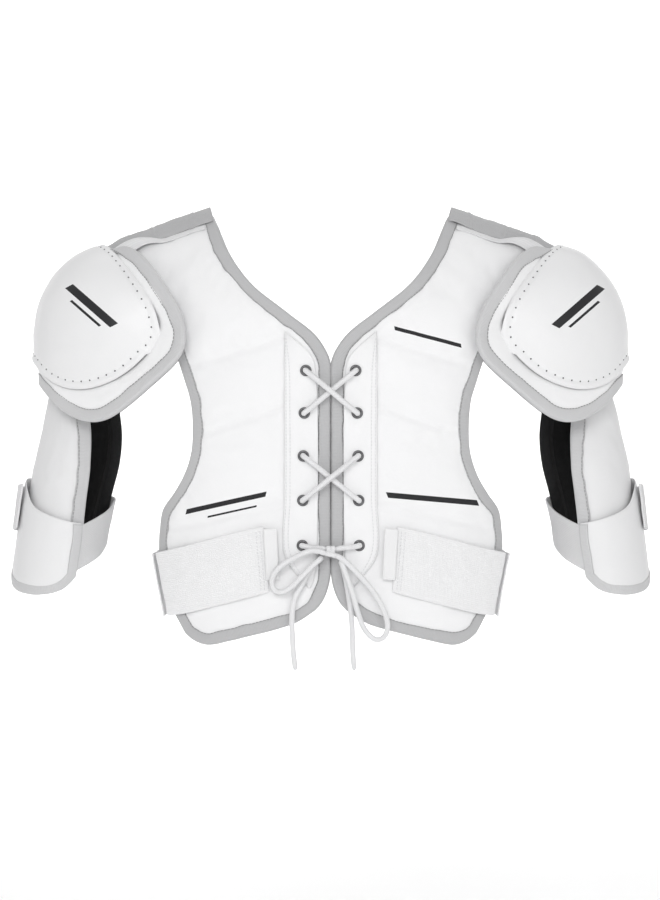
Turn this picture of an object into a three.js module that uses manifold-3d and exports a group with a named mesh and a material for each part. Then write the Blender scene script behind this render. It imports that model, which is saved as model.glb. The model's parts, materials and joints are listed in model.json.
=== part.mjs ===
// Hockey shoulder pads: a laced chest-and-back vest, two domed shoulder caps and two upper-arm guards.
// Millimetres. +Z is up, the wearer faces -Y, +X is the wearer's left. The origin is on the centre
// plane, halfway between front and back, at the height of the shoulder yoke.
// Outlines are drawn for the -X side, in the plane y = DRAWN_Y, as they look from a point EYE_DISTANCE
// in front of that plane at the height EYE_Z; onto() carries a drawn point back to its own depth.
import * as THREE from "three";
import { mergeVertices } from "three/addons/utils/BufferGeometryUtils.js";
import Module from "manifold-3d";

const wasm = await Module();
wasm.setup();

// ---- driving dimensions -------------------------------------------------------------------------
const DRAWN_Y = -100, EYE_DISTANCE = 3500, EYE_Z = -190.75;
const CHEST_DEPTH = 99; // outer surface of the chest in front of the centre plane
const RIDGE_X = 110, RIDGE_Z = 24, RIDGE_SLOPE = 0.344; // shoulder line: neck point and fall towards the arm
const RIDGE_ROUND = 150; // height over which the shoulder rolls down into the chest
const HALF_WIDTH_TOP = 232, HALF_WIDTH_LOW = 176; // torso half width at the shoulder and at the ribs
const GAP = 0.7; // clearance between layers that lie on each other
const COVER = 2; // woven outer cover
const PAD_EDGE = 4, PAD_CORE = 11; // foam at the sewn edge and in the body of a panel
const TAPE = 1.3; // folded binding tape
const BIND = 8.5; // width of the binding's lip on the panel
const FACING = 1.4; // laced facing strip
const STRAP = 2.2; // elastic webbing
const EYELET_R = 5, EYELET_HOLE_R = 2.8, BARREL_R = 3.4;
const LACE_R = 2;
const SHELL = 2.6, FLAP = 5, CAP_FOAM = 8; // cap: moulded shell, padded flange, foam inside
const ARM_FOAM = 7, LINER = 1.2, LOBE = 3;

// ---- drawn outlines, [x, z] on the -X side ------------------------------------------------------
// Vest panel: outer edge from the shoulder end down the armhole and side, and inner edge from the
// neck point down the neckline and the laced centre edge.
const PANEL_OUTER = [[-177.4, -7], [-166.9, -22.8], [-156.4, -46.4], [-146.8, -70], [-138, -94.5], [-131.9, -112.9],
  [-126.7, -130.4], [-121.4, -148.8], [-119.7, -176.8], [-121.4, -195.1], [-127.5, -213.5], [-136.3, -229.2],
  [-145.9, -243.2], [-148.5, -258.1], [-149.4, -280], [-145.9, -304.5], [-139.8, -324.6], [-133.7, -336.9],
  [-126.7, -350]];
const PANEL_INNER = [[-108.7, 20.1], [-105.7, 15.8], [-92.5, -15.8], [-72.4, -44.6], [-39.2, -71.8], [-16.4, -90.1],
  [-6.8, -103.2], [-2.4, -114.6], [-2.4, -147], [-2.4, -217], [-2.4, -287], [-2.4, -300.1], [-4.6, -311.5],
  [-9.4, -322.9], [-15.5, -329.9]];
const PANEL_HEM = [[-126.7, -350], [-119.7, -355.7], [-109.2, -359.2], [-90.8, -356.1], [-70.7, -351.3],
  [-49.7, -346.1], [-31.3, -339.9], [-15.5, -329.9]];
// Facing strip that carries the eyelets.
const FACING_OUTER = [[-40, -86.6], [-40, -129.5], [-40, -182], [-40, -234.5], [-40, -282.6], [-19, -311.5]];
const FACING_INNER = [[-38.3, -88.4], [-25.2, -99.8], [-16.4, -110.2], [-13.3, -124.2], [-12.9, -287],
  [-15.5, -307.1]];
const EYELETS = [[-21.7, -121.2], [-23, -158.4], [-23.8, -196], [-24.3, -234.9], [-24.7, -274.3]];
// Cap: section by section from the middle (depth 0) to the front end, upper rim and lower rim.
const CAP_TOP = [[-196.7, -11.4], [-188.8, -16.6], [-177.4, -30.6], [-166, -46.4], [-157.3, -60.4], [-152, -73.5],
  [-150.7, -83.1]];
const CAP_LOW = [[-261.4, -112.9], [-252.7, -124.2], [-238.7, -133.9], [-217.7, -137.4], [-194.9, -131.2],
  [-176.5, -121.6], [-162.5, -106.8]];
const CAP_SILHOUETTE = [[-196.7, -11.4], [-202.8, -11.4], [-219.4, -18.4], [-236, -32.4], [-247.4, -47.2],
  [-255.3, -65.6], [-258.8, -84], [-260.5, -102.4], [-261.4, -112.9]];
const CAP_BULGE = [[-247.4, -47.2], [-159, -96.2]]; // middle of the section at depth 0, and at the front end
const CAP_DEPTH = 80;
// Flange edge, [x, z, y], from the middle at the top round the front to the middle at the bottom.
const FLAP_EDGE = [[-188.8, -17.9, 0], [-187.9, -17.9, -14], [-181.8, -17.5, -29], [-174.8, -18.4, -43.5],
  [-167.8, -23.6, -56], [-160.3, -31.5, -66], [-148.5, -47.2, -77], [-137.2, -63.9, -86], [-131.5, -78.8, -91],
  [-129.7, -93.6, -94], [-133.2, -105.9, -95], [-144.2, -117.7, -94], [-162.5, -133.9, -91], [-180, -149.6, -84],
  [-199.3, -162.8, -75], [-215.9, -164.1, -63], [-233.4, -156.6, -49], [-249.2, -141.8, -31], [-256.2, -131.2, -17],
  [-258.8, -126.4, -6], [-259, -126, 0]];


// Arm guard: one horizontal section per height, [outer x, rear edge x, half depth].
const ARM_Z = [-136.5, -155.8, -178.5, -203, -227.5, -250.2, -270.4];
const ARM_OUT = [-243.9, -248.7, -253.5, -259.2, -262.7, -265.8, -268.4];
const ARM_IN = [-187.9, -185.3, -183.1, -185.3, -191.4, -196.7, -200.2];
const ARM_HALF_DEPTH = [25, 30, 38, 43, 45, 45, 44];
const ARM_FRONT = 97, ARM_REAR = -150; // the C section's ends, degrees from the outer side, front positive
const ARM_ANGLES = [97, 82, 57, 32, 8, -16, -40, -65, -90, -115, -136, -150];
const LOBE_ANGLES = [95, 80, 60, 38, 14, -12, -38, -62];
const LOBE_TOP = [-255.5, -253.8, -248.5, -239.8, -224, -216.1, -217, -220.5];
const LOBE_BOTTOM = [-298.4, -311.5, -315.9, -314.1, -308, -299.2, -288.8, -276.5];
const HANGER_ANGLES = [75, 50, 25, 0, -25, -50, -75];
const ARM_PIVOT = [-231.7, -140];

// ---- small helpers ------------------------------------------------------------------------------
const V = (x, y, z) => new THREE.Vector3(x, y, z);
const lerp = (a, b, t) => a + (b - a) * t;
const smooth = (t) => { t = Math.min(1, Math.max(0, t)); return t * t * (3 - 2 * t); };
const rad = (d) => (d * Math.PI) / 180;

// A point t (0 to 1, by length) along a polyline of number lists.
function along(line, t) {
  const d = [0];
  for (let i = 1; i < line.length; i++)
    d.push(d[i - 1] + Math.hypot(...line[i].map((v, k) => v - line[i - 1][k])));
  const s = Math.min(1, Math.max(0, t)) * d[d.length - 1];
  let i = 1;
  while (i < line.length - 1 && d[i] < s) i++;
  const f = (s - d[i - 1]) / (d[i] - d[i - 1]);
  return line[i].map((v, k) => lerp(line[i - 1][k], v, f));
}
const span = (line) => line.slice(1).reduce((n, p, i) => n + Math.hypot(...p.map((v, k) => v - line[i][k])), 0);
// A value between tabulated ones.
function table(xs, ys, x) {
  const up = xs[xs.length - 1] > xs[0];
  let i = 1;
  while (i < xs.length - 1 && (up ? xs[i] < x : xs[i] > x)) i++;
  return lerp(ys[i - 1], ys[i], (x - xs[i - 1]) / (xs[i] - xs[i - 1]));
}
// A drawn point carried back to the depth y.
function onto(X, Z, y) {
  const s = 1 + (y - DRAWN_Y) / EYE_DISTANCE;
  return V(X * s, y, EYE_Z + (Z - EYE_Z) * s);
}

// ---- the torso's outer surface ------------------------------------------------------------------
const ridge = (ax) => RIDGE_Z - RIDGE_SLOPE * (ax - RIDGE_X);
function torsoY(x, z) {
  const ax = Math.abs(x);
  const t = Math.min(1, Math.max(0, ridge(ax) - z) / RIDGE_ROUND);
  const roll = Math.pow(1 - (1 - t) ** 2, 0.62);
  const half = lerp(HALF_WIDTH_TOP, HALF_WIDTH_LOW, smooth((-z - 10) / 150));
  const depth = CHEST_DEPTH * Math.pow(Math.max(0.05, 1 - (ax / half) ** 2.2), 1 / 2.2);
  return -(0.8 + depth * roll);
}
// The drawn height of the ridge.
function ridgeDrawn(X) {
  const s = 1 + (-0.8 - DRAWN_Y) / EYE_DISTANCE;
  return EYE_Z + (ridge(Math.abs(X) * s) - EYE_Z) / s;
}
// A drawn point on that surface.
function torso(X, Z) {
  let p = onto(X, Z, -70);
  for (let i = 0; i < 12; i++) p = onto(X, Z, lerp(p.y, torsoY(p.x, p.z), 0.8));
  return p;
}
function torsoNormal(X, Z) {
  const a = torso(X + 2, Z).sub(torso(X - 2, Z));
  const b = torso(X, Z - 2).sub(torso(X, Z - 6));
  const n = b.cross(a).normalize();
  return n.y > 0 ? n.negate() : n;
}

// ---- grids and the solids made from them --------------------------------------------------------
// A grid is rows of points; out says which way its outer side faces.
function withNormals(P, out) {
  const R = P.length, C = P[0].length;
  const N = P.map((row, r) => row.map((p, c) => {
    const a = P[r][Math.min(C - 1, c + 1)].clone().sub(P[r][Math.max(0, c - 1)]);
    const b = P[Math.min(R - 1, r + 1)][c].clone().sub(P[Math.max(0, r - 1)][c]);
    const n = a.cross(b).normalize();
    return n;
  }));
  const m = N[R >> 1][C >> 1];
  if (m.dot(out) < 0) N.forEach((row) => row.forEach((n) => n.negate()));
  return { P, N };
}
const shifted = (g, r, c, d) => g.P[r][c].clone().addScaledVector(g.N[r][c], d);

// Triangles of a closed body, from quads given as four points.
class Body {
  constructor() { this.t = []; }
  tri(a, b, c) { this.t.push(a.x, a.y, a.z, b.x, b.y, b.z, c.x, c.y, c.z); }
  quad(a, b, c, d) { this.tri(a, b, c); this.tri(a, c, d); }
  geometry() { return closed(this.t); }
}
function closed(list) {
  const g = new THREE.BufferGeometry().setAttribute("position", new THREE.Float32BufferAttribute(list, 3));
  const m = mergeVertices(g, 1e-3);
  const idx = [];
  const s = m.index.array;
  for (let i = 0; i < s.length; i += 3)
    if (s[i] !== s[i + 1] && s[i + 1] !== s[i + 2] && s[i] !== s[i + 2]) idx.push(s[i], s[i + 1], s[i + 2]);
  m.setIndex(idx);
  return outward(m);
}
// Turns a closed geometry's faces outwards.
function outward(g) {
  const p = g.attributes.position, s = g.index.array;
  let v = 0;
  const a = V(), b = V(), c = V();
  for (let i = 0; i < s.length; i += 3) {
    a.fromBufferAttribute(p, s[i]); b.fromBufferAttribute(p, s[i + 1]); c.fromBufferAttribute(p, s[i + 2]);
    v += a.dot(b.cross(c));
  }
  if (v < 0) for (let i = 0; i < s.length; i += 3) [s[i + 1], s[i + 2]] = [s[i + 2], s[i + 1]];
  return g;
}
const value = (f, r, c) => (typeof f === "function" ? f(r, c) : f);
// The layer between two distances from the grid.
function layer(g, top, bottom) {
  const R = g.P.length, C = g.P[0].length, body = new Body();
  const A = g.P.map((row, r) => row.map((_, c) => shifted(g, r, c, value(top, r, c))));
  const B = g.P.map((row, r) => row.map((_, c) => shifted(g, r, c, value(bottom, r, c))));
  for (let r = 0; r + 1 < R; r++)
    for (let c = 0; c + 1 < C; c++) {
      body.quad(A[r][c], A[r][c + 1], A[r + 1][c + 1], A[r + 1][c]);
      body.quad(B[r][c], B[r + 1][c], B[r + 1][c + 1], B[r][c + 1]);
    }
  const rim = [];
  for (let c = 0; c < C - 1; c++) rim.push([0, c]);
  for (let r = 0; r < R - 1; r++) rim.push([r, C - 1]);
  for (let c = C - 1; c > 0; c--) rim.push([R - 1, c]);
  for (let r = R - 1; r > 0; r--) rim.push([r, 0]);
  rim.forEach(([r, c], i) => {
    const [q, d] = rim[(i + 1) % rim.length];
    body.quad(A[r][c], B[r][c], B[q][d], A[q][d]);
  });
  return body.geometry();
}
const rows = (g, from, to) => ({ P: g.P.slice(from, to), N: g.N.slice(from, to) });
// Folded tape round an edge. Each station is [edge point, edge normal, inset point, inset normal].
function binding(stations, front, back) {
  const S = stations.map(([p, n, q, m]) => {
    const w = p.clone().sub(q).normalize();
    const at = (base, nn, d, o) => base.clone().addScaledVector(nn, d).addScaledVector(w, o);
    return [
      at(q, m, front + TAPE, 0), at(p, n, front + TAPE, GAP + TAPE), at(p, n, back - TAPE, GAP + TAPE), at(q, m, back - TAPE, 0),
      at(q, m, back, 0), at(p, n, back, GAP), at(p, n, front, GAP), at(q, m, front, 0),
    ];
  });
  const body = new Body();
  for (let i = 0; i + 1 < S.length; i++)
    for (let k = 0; k < 8; k++) {
      const j = (k + 1) % 8;
      if (k === 6) body.quad(S[i][j], S[i + 1][j], S[i + 1][k], S[i][k]);
      else body.quad(S[i][k], S[i][j], S[i + 1][j], S[i + 1][k]);
    }
  const cap = (s, flip) => [[0, 1, 6, 7], [1, 2, 5, 6], [2, 3, 4, 5]].forEach((q) => {
    if (flip) q = [...q].reverse();
    body.quad(...q.map((k) => s[k]));
  });
  cap(S[0], true);
  cap(S[S.length - 1], false);
  return body.geometry();
}
// Edge stations of a grid: down the first column, along the last row and up the last column.
function edgeStations(g, first = 0) {
  const R = g.P.length, C = g.P[0].length, list = [];
  const put = (r, c, q, d) => list.push([g.P[r][c], g.N[r][c], g.P[q][d], g.N[q][d]]);
  for (let r = first; r < R - 1; r++) put(r, 0, Math.min(r, R - 2), 1);
  for (let c = 0; c < C; c++) put(R - 1, c, R - 2, Math.min(C - 2, Math.max(1, c)));
  for (let r = R - 2; r >= first; r--) put(r, C - 1, r, C - 2);
  return list;
}
function manifoldOf(g) {
  return new wasm.Manifold(new wasm.Mesh({
    numProp: 3, vertProperties: new Float32Array(g.attributes.position.array), triVerts: new Uint32Array(g.index.array),
  }));
}
function cut(g, tools) {
  let s = manifoldOf(g);
  for (const t of tools) s = s.subtract(manifoldOf(t));
  const m = s.getMesh();
  return new THREE.BufferGeometry()
    .setAttribute("position", new THREE.BufferAttribute(new Float32Array(m.vertProperties), 3))
    .setIndex([...m.triVerts]);
}
// A ring turned about an axis: profile points [radius, height along the axis].
function ring(profile, at, axis, sides) {
  const q = new THREE.Quaternion().setFromUnitVectors(V(0, 1, 0), axis);
  const body = new Body();
  const pt = (k, i) => {
    const a = (2 * Math.PI * i) / sides, [r, h] = profile[k % profile.length];
    return V(r * Math.cos(a), h, r * Math.sin(a)).applyQuaternion(q).add(at);
  };
  for (let i = 0; i < sides; i++)
    for (let k = 0; k < profile.length; k++)
      body.quad(pt(k, i), pt(k + 1, i), pt(k + 1, i + 1), pt(k, i + 1));
  return body.geometry();
}
function rod(r, h0, h1, at, axis, sides) {
  const q = new THREE.Quaternion().setFromUnitVectors(V(0, 1, 0), axis), body = new Body();
  const pt = (h, i) => V(r * Math.cos((2 * Math.PI * i) / sides), h, r * Math.sin((2 * Math.PI * i) / sides)).applyQuaternion(q).add(at);
  const lo = V(0, h0, 0).applyQuaternion(q).add(at), hi = V(0, h1, 0).applyQuaternion(q).add(at);
  for (let i = 0; i < sides; i++) {
    body.quad(pt(h0, i), pt(h1, i), pt(h1, i + 1), pt(h0, i + 1));
    body.tri(lo, pt(h0, i), pt(h0, i + 1));
    body.tri(hi, pt(h1, i + 1), pt(h1, i));
  }
  return body.geometry();
}

// ---- finished pieces ----------------------------------------------------------------------------
const WHITE = { color: 0xefeff0, roughness: 0.55, metalness: 0 };
const GREY = { color: 0xb9b9bb, roughness: 0.8, metalness: 0 };
const BLACK = { color: 0x121214, roughness: 0.9, metalness: 0 };
const ELASTIC = { color: 0xe6e6e8, roughness: 0.75, metalness: 0 };
const FOAM = { color: 0xdedee0, roughness: 0.95, metalness: 0 };
const METAL = { color: 0x77777b, roughness: 0.4, metalness: 0.8 };
const CORD = { color: 0xf2f2f2, roughness: 0.85, metalness: 0 };
const group = new THREE.Group();
function add(name, geometry, material) {
  geometry.deleteAttribute("normal");
  geometry.computeVertexNormals();
  const mesh = new THREE.Mesh(geometry, new THREE.MeshStandardMaterial(material));
  mesh.name = name;
  group.add(mesh);
  return mesh;
}
// Mirrors a geometry across x = 0 (axis "x") or y = 0 (axis "y").
function mirrored(g, axis) {
  const m = g.clone(), p = m.attributes.position;
  for (let i = 0; i < p.count; i++) axis === "x" ? p.setX(i, -p.getX(i)) : p.setY(i, -p.getY(i));
  const s = [...m.index.array];
  for (let i = 0; i < s.length; i += 3) [s[i + 1], s[i + 2]] = [s[i + 2], s[i + 1]];
  m.setIndex(s);
  return m;
}
// The drawn side is the wearer's right; the other is its mirror image.
function pair(name, geometry, material) {
  add("right_" + name, geometry, material);
  add("left_" + name, mirrored(geometry, "x"), material);
}

// ---- vest panels --------------------------------------------------------------------------------
for (const line of [PANEL_OUTER, PANEL_INNER]) line[0][1] = ridgeDrawn(line[0][0]);
const height = span(PANEL_INNER);
const VR = [0, 0.005, 0.012, 0.024, 0.05, 0.09, 0.16, 0.24, 0.32, 0.41, 0.5, 0.59, 0.68, 0.77, 0.86, 0.935, 1 - BIND / height, 1];
function panelXZ(u, v) {
  const L = along(PANEL_OUTER, v), R = along(PANEL_INNER, v);
  const tx = lerp(PANEL_OUTER[0][0], PANEL_INNER[0][0], u), T = [tx, ridgeDrawn(tx)];
  const B = along(PANEL_HEM, u);
  const l0 = PANEL_OUTER[0], r0 = PANEL_INNER[0], l1 = PANEL_HEM[0], r1 = PANEL_HEM[PANEL_HEM.length - 1];
  return [0, 1].map((k) =>
    lerp(L[k], R[k], u) + lerp(T[k], B[k], v) -
    lerp(lerp(l0[k], r0[k], u), lerp(l1[k], r1[k], u), v));
}
// Column positions keep the edge strips at their real width in every row.
function panelGrid() {
  return withNormals(VR.map((v) => {
    const L = panelXZ(0, v), R = panelXZ(1, v), w = Math.hypot(R[0] - L[0], R[1] - L[1]);
    const e = BIND / w, f = Math.min(0.3, 31 / w);
    const u = [0, e, lerp(e, 1 - f, 0.18), lerp(e, 1 - f, 0.4), lerp(e, 1 - f, 0.62), lerp(e, 1 - f, 0.84), 1 - f, 1 - e, 1];
    return u.map((x) => {
      const [X, Z] = panelXZ(x, v);
      const p = torso(X, Z);
      if (v === 0) { const q = onto(X, Z, -0.8); p.set(q.x, -0.8, ridge(Math.abs(q.x))); }
      return p;
    });
  }), V(0, -1, 0));
}
const panel = panelGrid();
panel.N[0].forEach((n) => n.setY(0).normalize());
const PR = VR.length, PC = panel.P[0].length;
const foam = (r, c) => {
  const edge = c <= 1 || c >= PC - 3 || r >= PR - 2 || r === 0;
  return -(COVER + GAP + (edge ? PAD_EDGE : r <= 2 ? 7 : PAD_CORE));
};
const eyeletAxis = EYELETS.map(([X, Z]) => torsoNormal(X, Z));
const eyeletAt = EYELETS.map(([X, Z]) => torso(X, Z));
const drills = eyeletAt.map((p, i) => rod(BARREL_R + 0.5, -16, 8, p, eyeletAxis[i], 10));
const chestCover = layer(panel, 0, -COVER);
const chestPad = layer(panel, -COVER - GAP, foam);
pair("chest_cover", cut(chestCover, drills), WHITE);
pair("chest_pad", cut(chestPad, drills), FOAM);
const panelBinding = binding(edgeStations(panel, 1), GAP, -(COVER + GAP + PAD_EDGE + GAP));
pair("chest_binding", panelBinding, GREY);
pair("back_cover", mirrored(chestCover, "y"), WHITE);
pair("back_pad", mirrored(chestPad, "y"), FOAM);
pair("back_binding", mirrored(panelBinding, "y"), GREY);

// A strip on the torso between two drawn lines, lifted off the surface.
function strip(lineA, lineB, n, m, lift, thick) {
  const P = [], N = [];
  for (let i = 0; i <= n; i++) {
    const a = along(lineA, i / n), b = along(lineB, i / n);
    P.push([]); N.push([]);
    for (let k = 0; k <= m; k++) {
      const X = lerp(a[0], b[0], k / m), Z = lerp(a[1], b[1], k / m);
      P[i].push(torso(X, Z)); N[i].push(torsoNormal(X, Z));
    }
  }
  return layer({ P, N }, lift + thick, lift);
}
const FACING_LIFT = 1.1;
pair("chest_lace_facing", cut(strip(FACING_OUTER, FACING_INNER, 10, 2, FACING_LIFT, FACING), drills), WHITE);

// Ridge tape over the front and back panels' top rows.
{
  const front = rows(panel, 0, 4);
  const flip = (v) => V(v.x, -v.y, v.z);
  const P = [...front.P].reverse().concat(front.P.map((r) => r.map(flip)));
  const N = [...front.N].reverse().concat(front.N.map((r) => r.map(flip)));
  pair("shoulder_seam_tape", layer({ P, N }, GAP + TAPE + GAP + 1.3, GAP + TAPE + GAP), GREY);
}
// Webbing that ties the cap to the yoke, on the front roll of the shoulder.
const CAP_STRAP_A = [[-135.4, -4.4], [-149.4, -6.6], [-162.5, -4.8], [-171.3, -6.1], [-178.3, -9.6]];
const CAP_STRAP_B = [[-134.5, -6.6], [-147.7, -10.5], [-160.8, -12.2], [-169.5, -14.9], [-175.7, -17.5]];
pair("cap_strap", strip(CAP_STRAP_A, CAP_STRAP_B, 6, 1, GAP + TAPE + GAP + 1.3 + 1, 1.5), ELASTIC);

// Elastic gore across the back opening.
{
  const P = [], N = [];
  const zs = [-147, -168.9, -190.8, -212.6, -234.5, -256.4, -278.2], xs = [-30, -20, -10, 0, 10, 20, 30];
  for (const z of zs) {
    P.push(xs.map((x) => { const p = torso(x, z); return V(x, -torsoY(x, p.z), p.z); }));
    N.push(xs.map((x) => { const n = torsoNormal(x, z); return V(n.x, -n.y, n.z); }));
  }
  add("back_gore", layer({ P, N }, GAP + TAPE + 1 + STRAP, GAP + TAPE + 1), ELASTIC);
}

// Rib strap: a front run that lies on the chest and a rear run round the side to the back.
const RIB_LIFT = GAP + TAPE + 1.5;
const RIB_TOP = [[-58.4, -258.6], [-79.4, -262.9], [-101.3, -268.6], [-123.2, -274.8], [-137.2, -278.2],
  [-149.4, -280.9]];
const RIB_LOW = [[-54, -314.6], [-75, -320.2], [-96.9, -325.9], [-114.4, -330.3], [-128.4, -333.4], [-139.8, -334.7]];
const ribFront = strip(RIB_TOP, RIB_LOW, 6, 2, RIB_LIFT, STRAP);
pair("rib_strap_front", ribFront, ELASTIC);
{
  // round the side, between the fold and the back panel
  const P = [], N = [];
  const tilt = 0.2; // the strap's slope down towards the side is kept round to the back
  const steps = 12;
  for (let i = 0; i <= steps; i++) {
    const t = i / steps;
    P.push([]); N.push([]);
    for (let k = 0; k <= 2; k++) {
      const f = [lerp(RIB_TOP[5][0], RIB_LOW[5][0], k / 2) - 1.6, lerp(RIB_TOP[5][1], RIB_LOW[5][1], k / 2)];
      const a = torso(f[0], f[1]);
      const nf = torsoNormal(f[0], f[1]);
      let p, n;
      if (t < 0.6) {
        const s = t / 0.6, ang = 2 * s - 1;
        p = V(a.x - 9 * (1 - ang * ang), lerp(a.y, -a.y, s), a.z);
        n = V(lerp(-1, nf.x, ang * ang), -nf.y * ang * Math.abs(ang), nf.z * ang * ang).normalize();
      } else {
        const s = (t - 0.6) / 0.4;
        const X = lerp(f[0], f[0] + 46, s), Z = lerp(f[1], f[1] + 46 * tilt, s);
        const q = torso(X, Z), m = torsoNormal(X, Z);
        p = V(q.x, -q.y, q.z); n = V(m.x, -m.y, m.z);
      }
      P[i].push(p); N[i].push(n);
    }
  }
  pair("rib_strap_rear", layer({ P, N }, RIB_LIFT + 0.7 + STRAP, RIB_LIFT + 0.7), ELASTIC);
}
const TAB_A = [[-57.5, -260.3], [-48.8, -259.9]];
const TAB_B = [[-55.8, -304.5], [-47, -303.2]];
pair("rib_strap_tab", strip(TAB_A, TAB_B, 1, 4, RIB_LIFT + STRAP + 0.6, 1.4), GREY);

// ---- shoulder cap -------------------------------------------------------------------------------
const CAP_J = [-1, -0.85, -0.68, -0.5, -0.3, -0.1, 0.1, 0.3, 0.5, 0.68, 0.85, 1];
const CAP_S = [0, 0.1, 0.24, 0.38, 0.5, 0.62, 0.76, 0.9, 1];
function capPoint(j, s) {
  const a = Math.abs(j), c = Math.cos((Math.PI / 2) * a), y = -CAP_DEPTH * Math.sin((Math.PI / 2) * a);
  const T = along(CAP_TOP, a), L = along(CAP_LOW, a);
  const mid = [0, 1].map((k) => (T[k] + L[k]) / 2);
  const bulge = [0, 1].map((k) => lerp(CAP_BULGE[1][k], CAP_BULGE[0][k], c) - mid[k]);
  const arc = (t, l, m, b) => [0, 1].map((k) => m[k] + Math.cos(Math.PI * s) * (t[k] - l[k]) / 2 + Math.sin(Math.PI * s) * b[k]);
  const p = arc(T, L, mid, bulge);
  const T0 = CAP_TOP[0], L0 = CAP_LOW[0], m0 = [0, 1].map((k) => (T0[k] + L0[k]) / 2);
  const q = arc(T0, L0, m0, [0, 1].map((k) => CAP_BULGE[0][k] - m0[k]));
  const real = along(CAP_SILHOUETTE, s);
  const f = onto(p[0] + c * c * (real[0] - q[0]), p[1] + c * c * (real[1] - q[1]), y);
  return j < 0 ? f : V(f.x, -f.y, f.z);
}
const cap = withNormals(CAP_S.map((s) => CAP_J.map((j) => capPoint(j, s))), V(-1, 0, 0.4));
pair("cap_shell", layer(cap, 0, -SHELL), WHITE);
{
  // foam under the middle of the shell, 1 mm inside the flange's inner edge
  const inner = { P: cap.P.slice(1, -1).map((r) => r.slice(1, -1)), N: cap.N.slice(1, -1).map((r) => r.slice(1, -1)) };
  const R = inner.P.length, C = inner.P[0].length;
  const mid = inner.P[R >> 1][C >> 1];
  const P = inner.P.map((row, r) => row.map((p, c) => {
    if (r > 0 && r < R - 1 && c > 0 && c < C - 1) return p;
    const q = inner.P[Math.min(R - 2, Math.max(1, r))][Math.min(C - 2, Math.max(1, c))];
    return p.clone().lerp(q, 6.5 / p.distanceTo(q));
  }));
  pair("cap_pad", layer({ P, N: inner.N }, -SHELL - GAP - 0.3, -SHELL - GAP - CAP_FOAM), FOAM);
}
// Flange: a closed band from under the shell's rim to its own bound edge.
const R1 = CAP_S.length - 1, C1 = CAP_J.length - 1;
const loopNodes = []; // [r, c] round the shell's rim, from the middle at the top through the front
for (let c = 5; c > 0; c--) loopNodes.push([0, c]);
for (let r = 0; r < R1; r++) loopNodes.push([r, 0]);
for (let c = 0; c <= 5; c++) loopNodes.push([R1, c]);
const capRim = loopNodes.map(([r, c]) => cap.P[r][c]);
function flapRings() {
  const toList = (v) => [v.x, v.y, v.z];
  const edgeLine = FLAP_EDGE.map(([X, Z, y]) => toList(onto(X, Z, y)));
  const rimLine = capRim.map(toList), total = span(rimLine);
  let run = 0;
  const front = loopNodes.map(([r, c], i) => {
    if (i) run += capRim[i].distanceTo(capRim[i - 1]);
    const t = lerp(0.02, 0.985, run / total);
    const e = V(...along(edgeLine, t));
    const ir = Math.min(R1 - 1, Math.max(1, r)), ic = Math.min(C1 - 1, Math.max(1, c));
    const under = cap.P[r][c].clone().addScaledVector(cap.N[r][c], -SHELL - (r < 2 ? 2.6 : 1.9));
    const inner = cap.P[ir][ic].clone().addScaledVector(cap.N[ir][ic], -SHELL - (r < 2 ? 2.6 : 2.2));
    if (e.distanceTo(under) < 5) e.copy(under.clone().add(under.clone().sub(inner).setLength(5)));
    const d = e.distanceTo(under), inset = under.clone().lerp(e, Math.max(0.42, 1 - BIND / d));
    if (r === 0) for (const v of [inset, e]) v.addScaledVector(cap.N[r][c], -1.5);
    return [inner, under, inset, e];
  });
  const back = front.map((ring4) => ring4.map((v) => V(v.x, -v.y, v.z))).reverse();
  return front.concat(back);
}
const rings = flapRings();
const flapN = rings.map((q, i) => q.map((p, k) => {
  const n = rings.length, a = rings[(i + 1) % n][k].clone().sub(rings[(i + n - 1) % n][k]);
  const b = q[Math.min(3, k + 1)].clone().sub(q[Math.max(0, k - 1)]);
  const m = b.cross(a).normalize();
  return m;
}));
{
  const m = flapN[8][2];
  if (m.dot(V(-0.3, -1, 0)) < 0) flapN.forEach((q) => q.forEach((v) => v.negate()));
}
{
  const body = new Body(), n = rings.length;
  const at = (i, k, d) => rings[i % n][k].clone().addScaledVector(flapN[i % n][k], d);
  for (let i = 0; i < n; i++) {
    for (let k = 0; k < 3; k++) {
      body.quad(at(i, k, 0), at(i, k + 1, 0), at(i + 1, k + 1, 0), at(i + 1, k, 0));
      body.quad(at(i, k, -FLAP), at(i + 1, k, -FLAP), at(i + 1, k + 1, -FLAP), at(i, k + 1, -FLAP));
    }
    body.quad(at(i, 0, 0), at(i + 1, 0, 0), at(i + 1, 0, -FLAP), at(i, 0, -FLAP));
    body.quad(at(i, 3, 0), at(i, 3, -FLAP), at(i + 1, 3, -FLAP), at(i + 1, 3, 0));
  }
  pair("cap_flap", body.geometry(), WHITE);
  const st = rings.map((q, i) => [q[3], flapN[i][3], q[2], flapN[i][2]]).slice(2, n - 2);
  pair("cap_flap_binding", binding(st, GAP, -FLAP - GAP), GREY);
}

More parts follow.
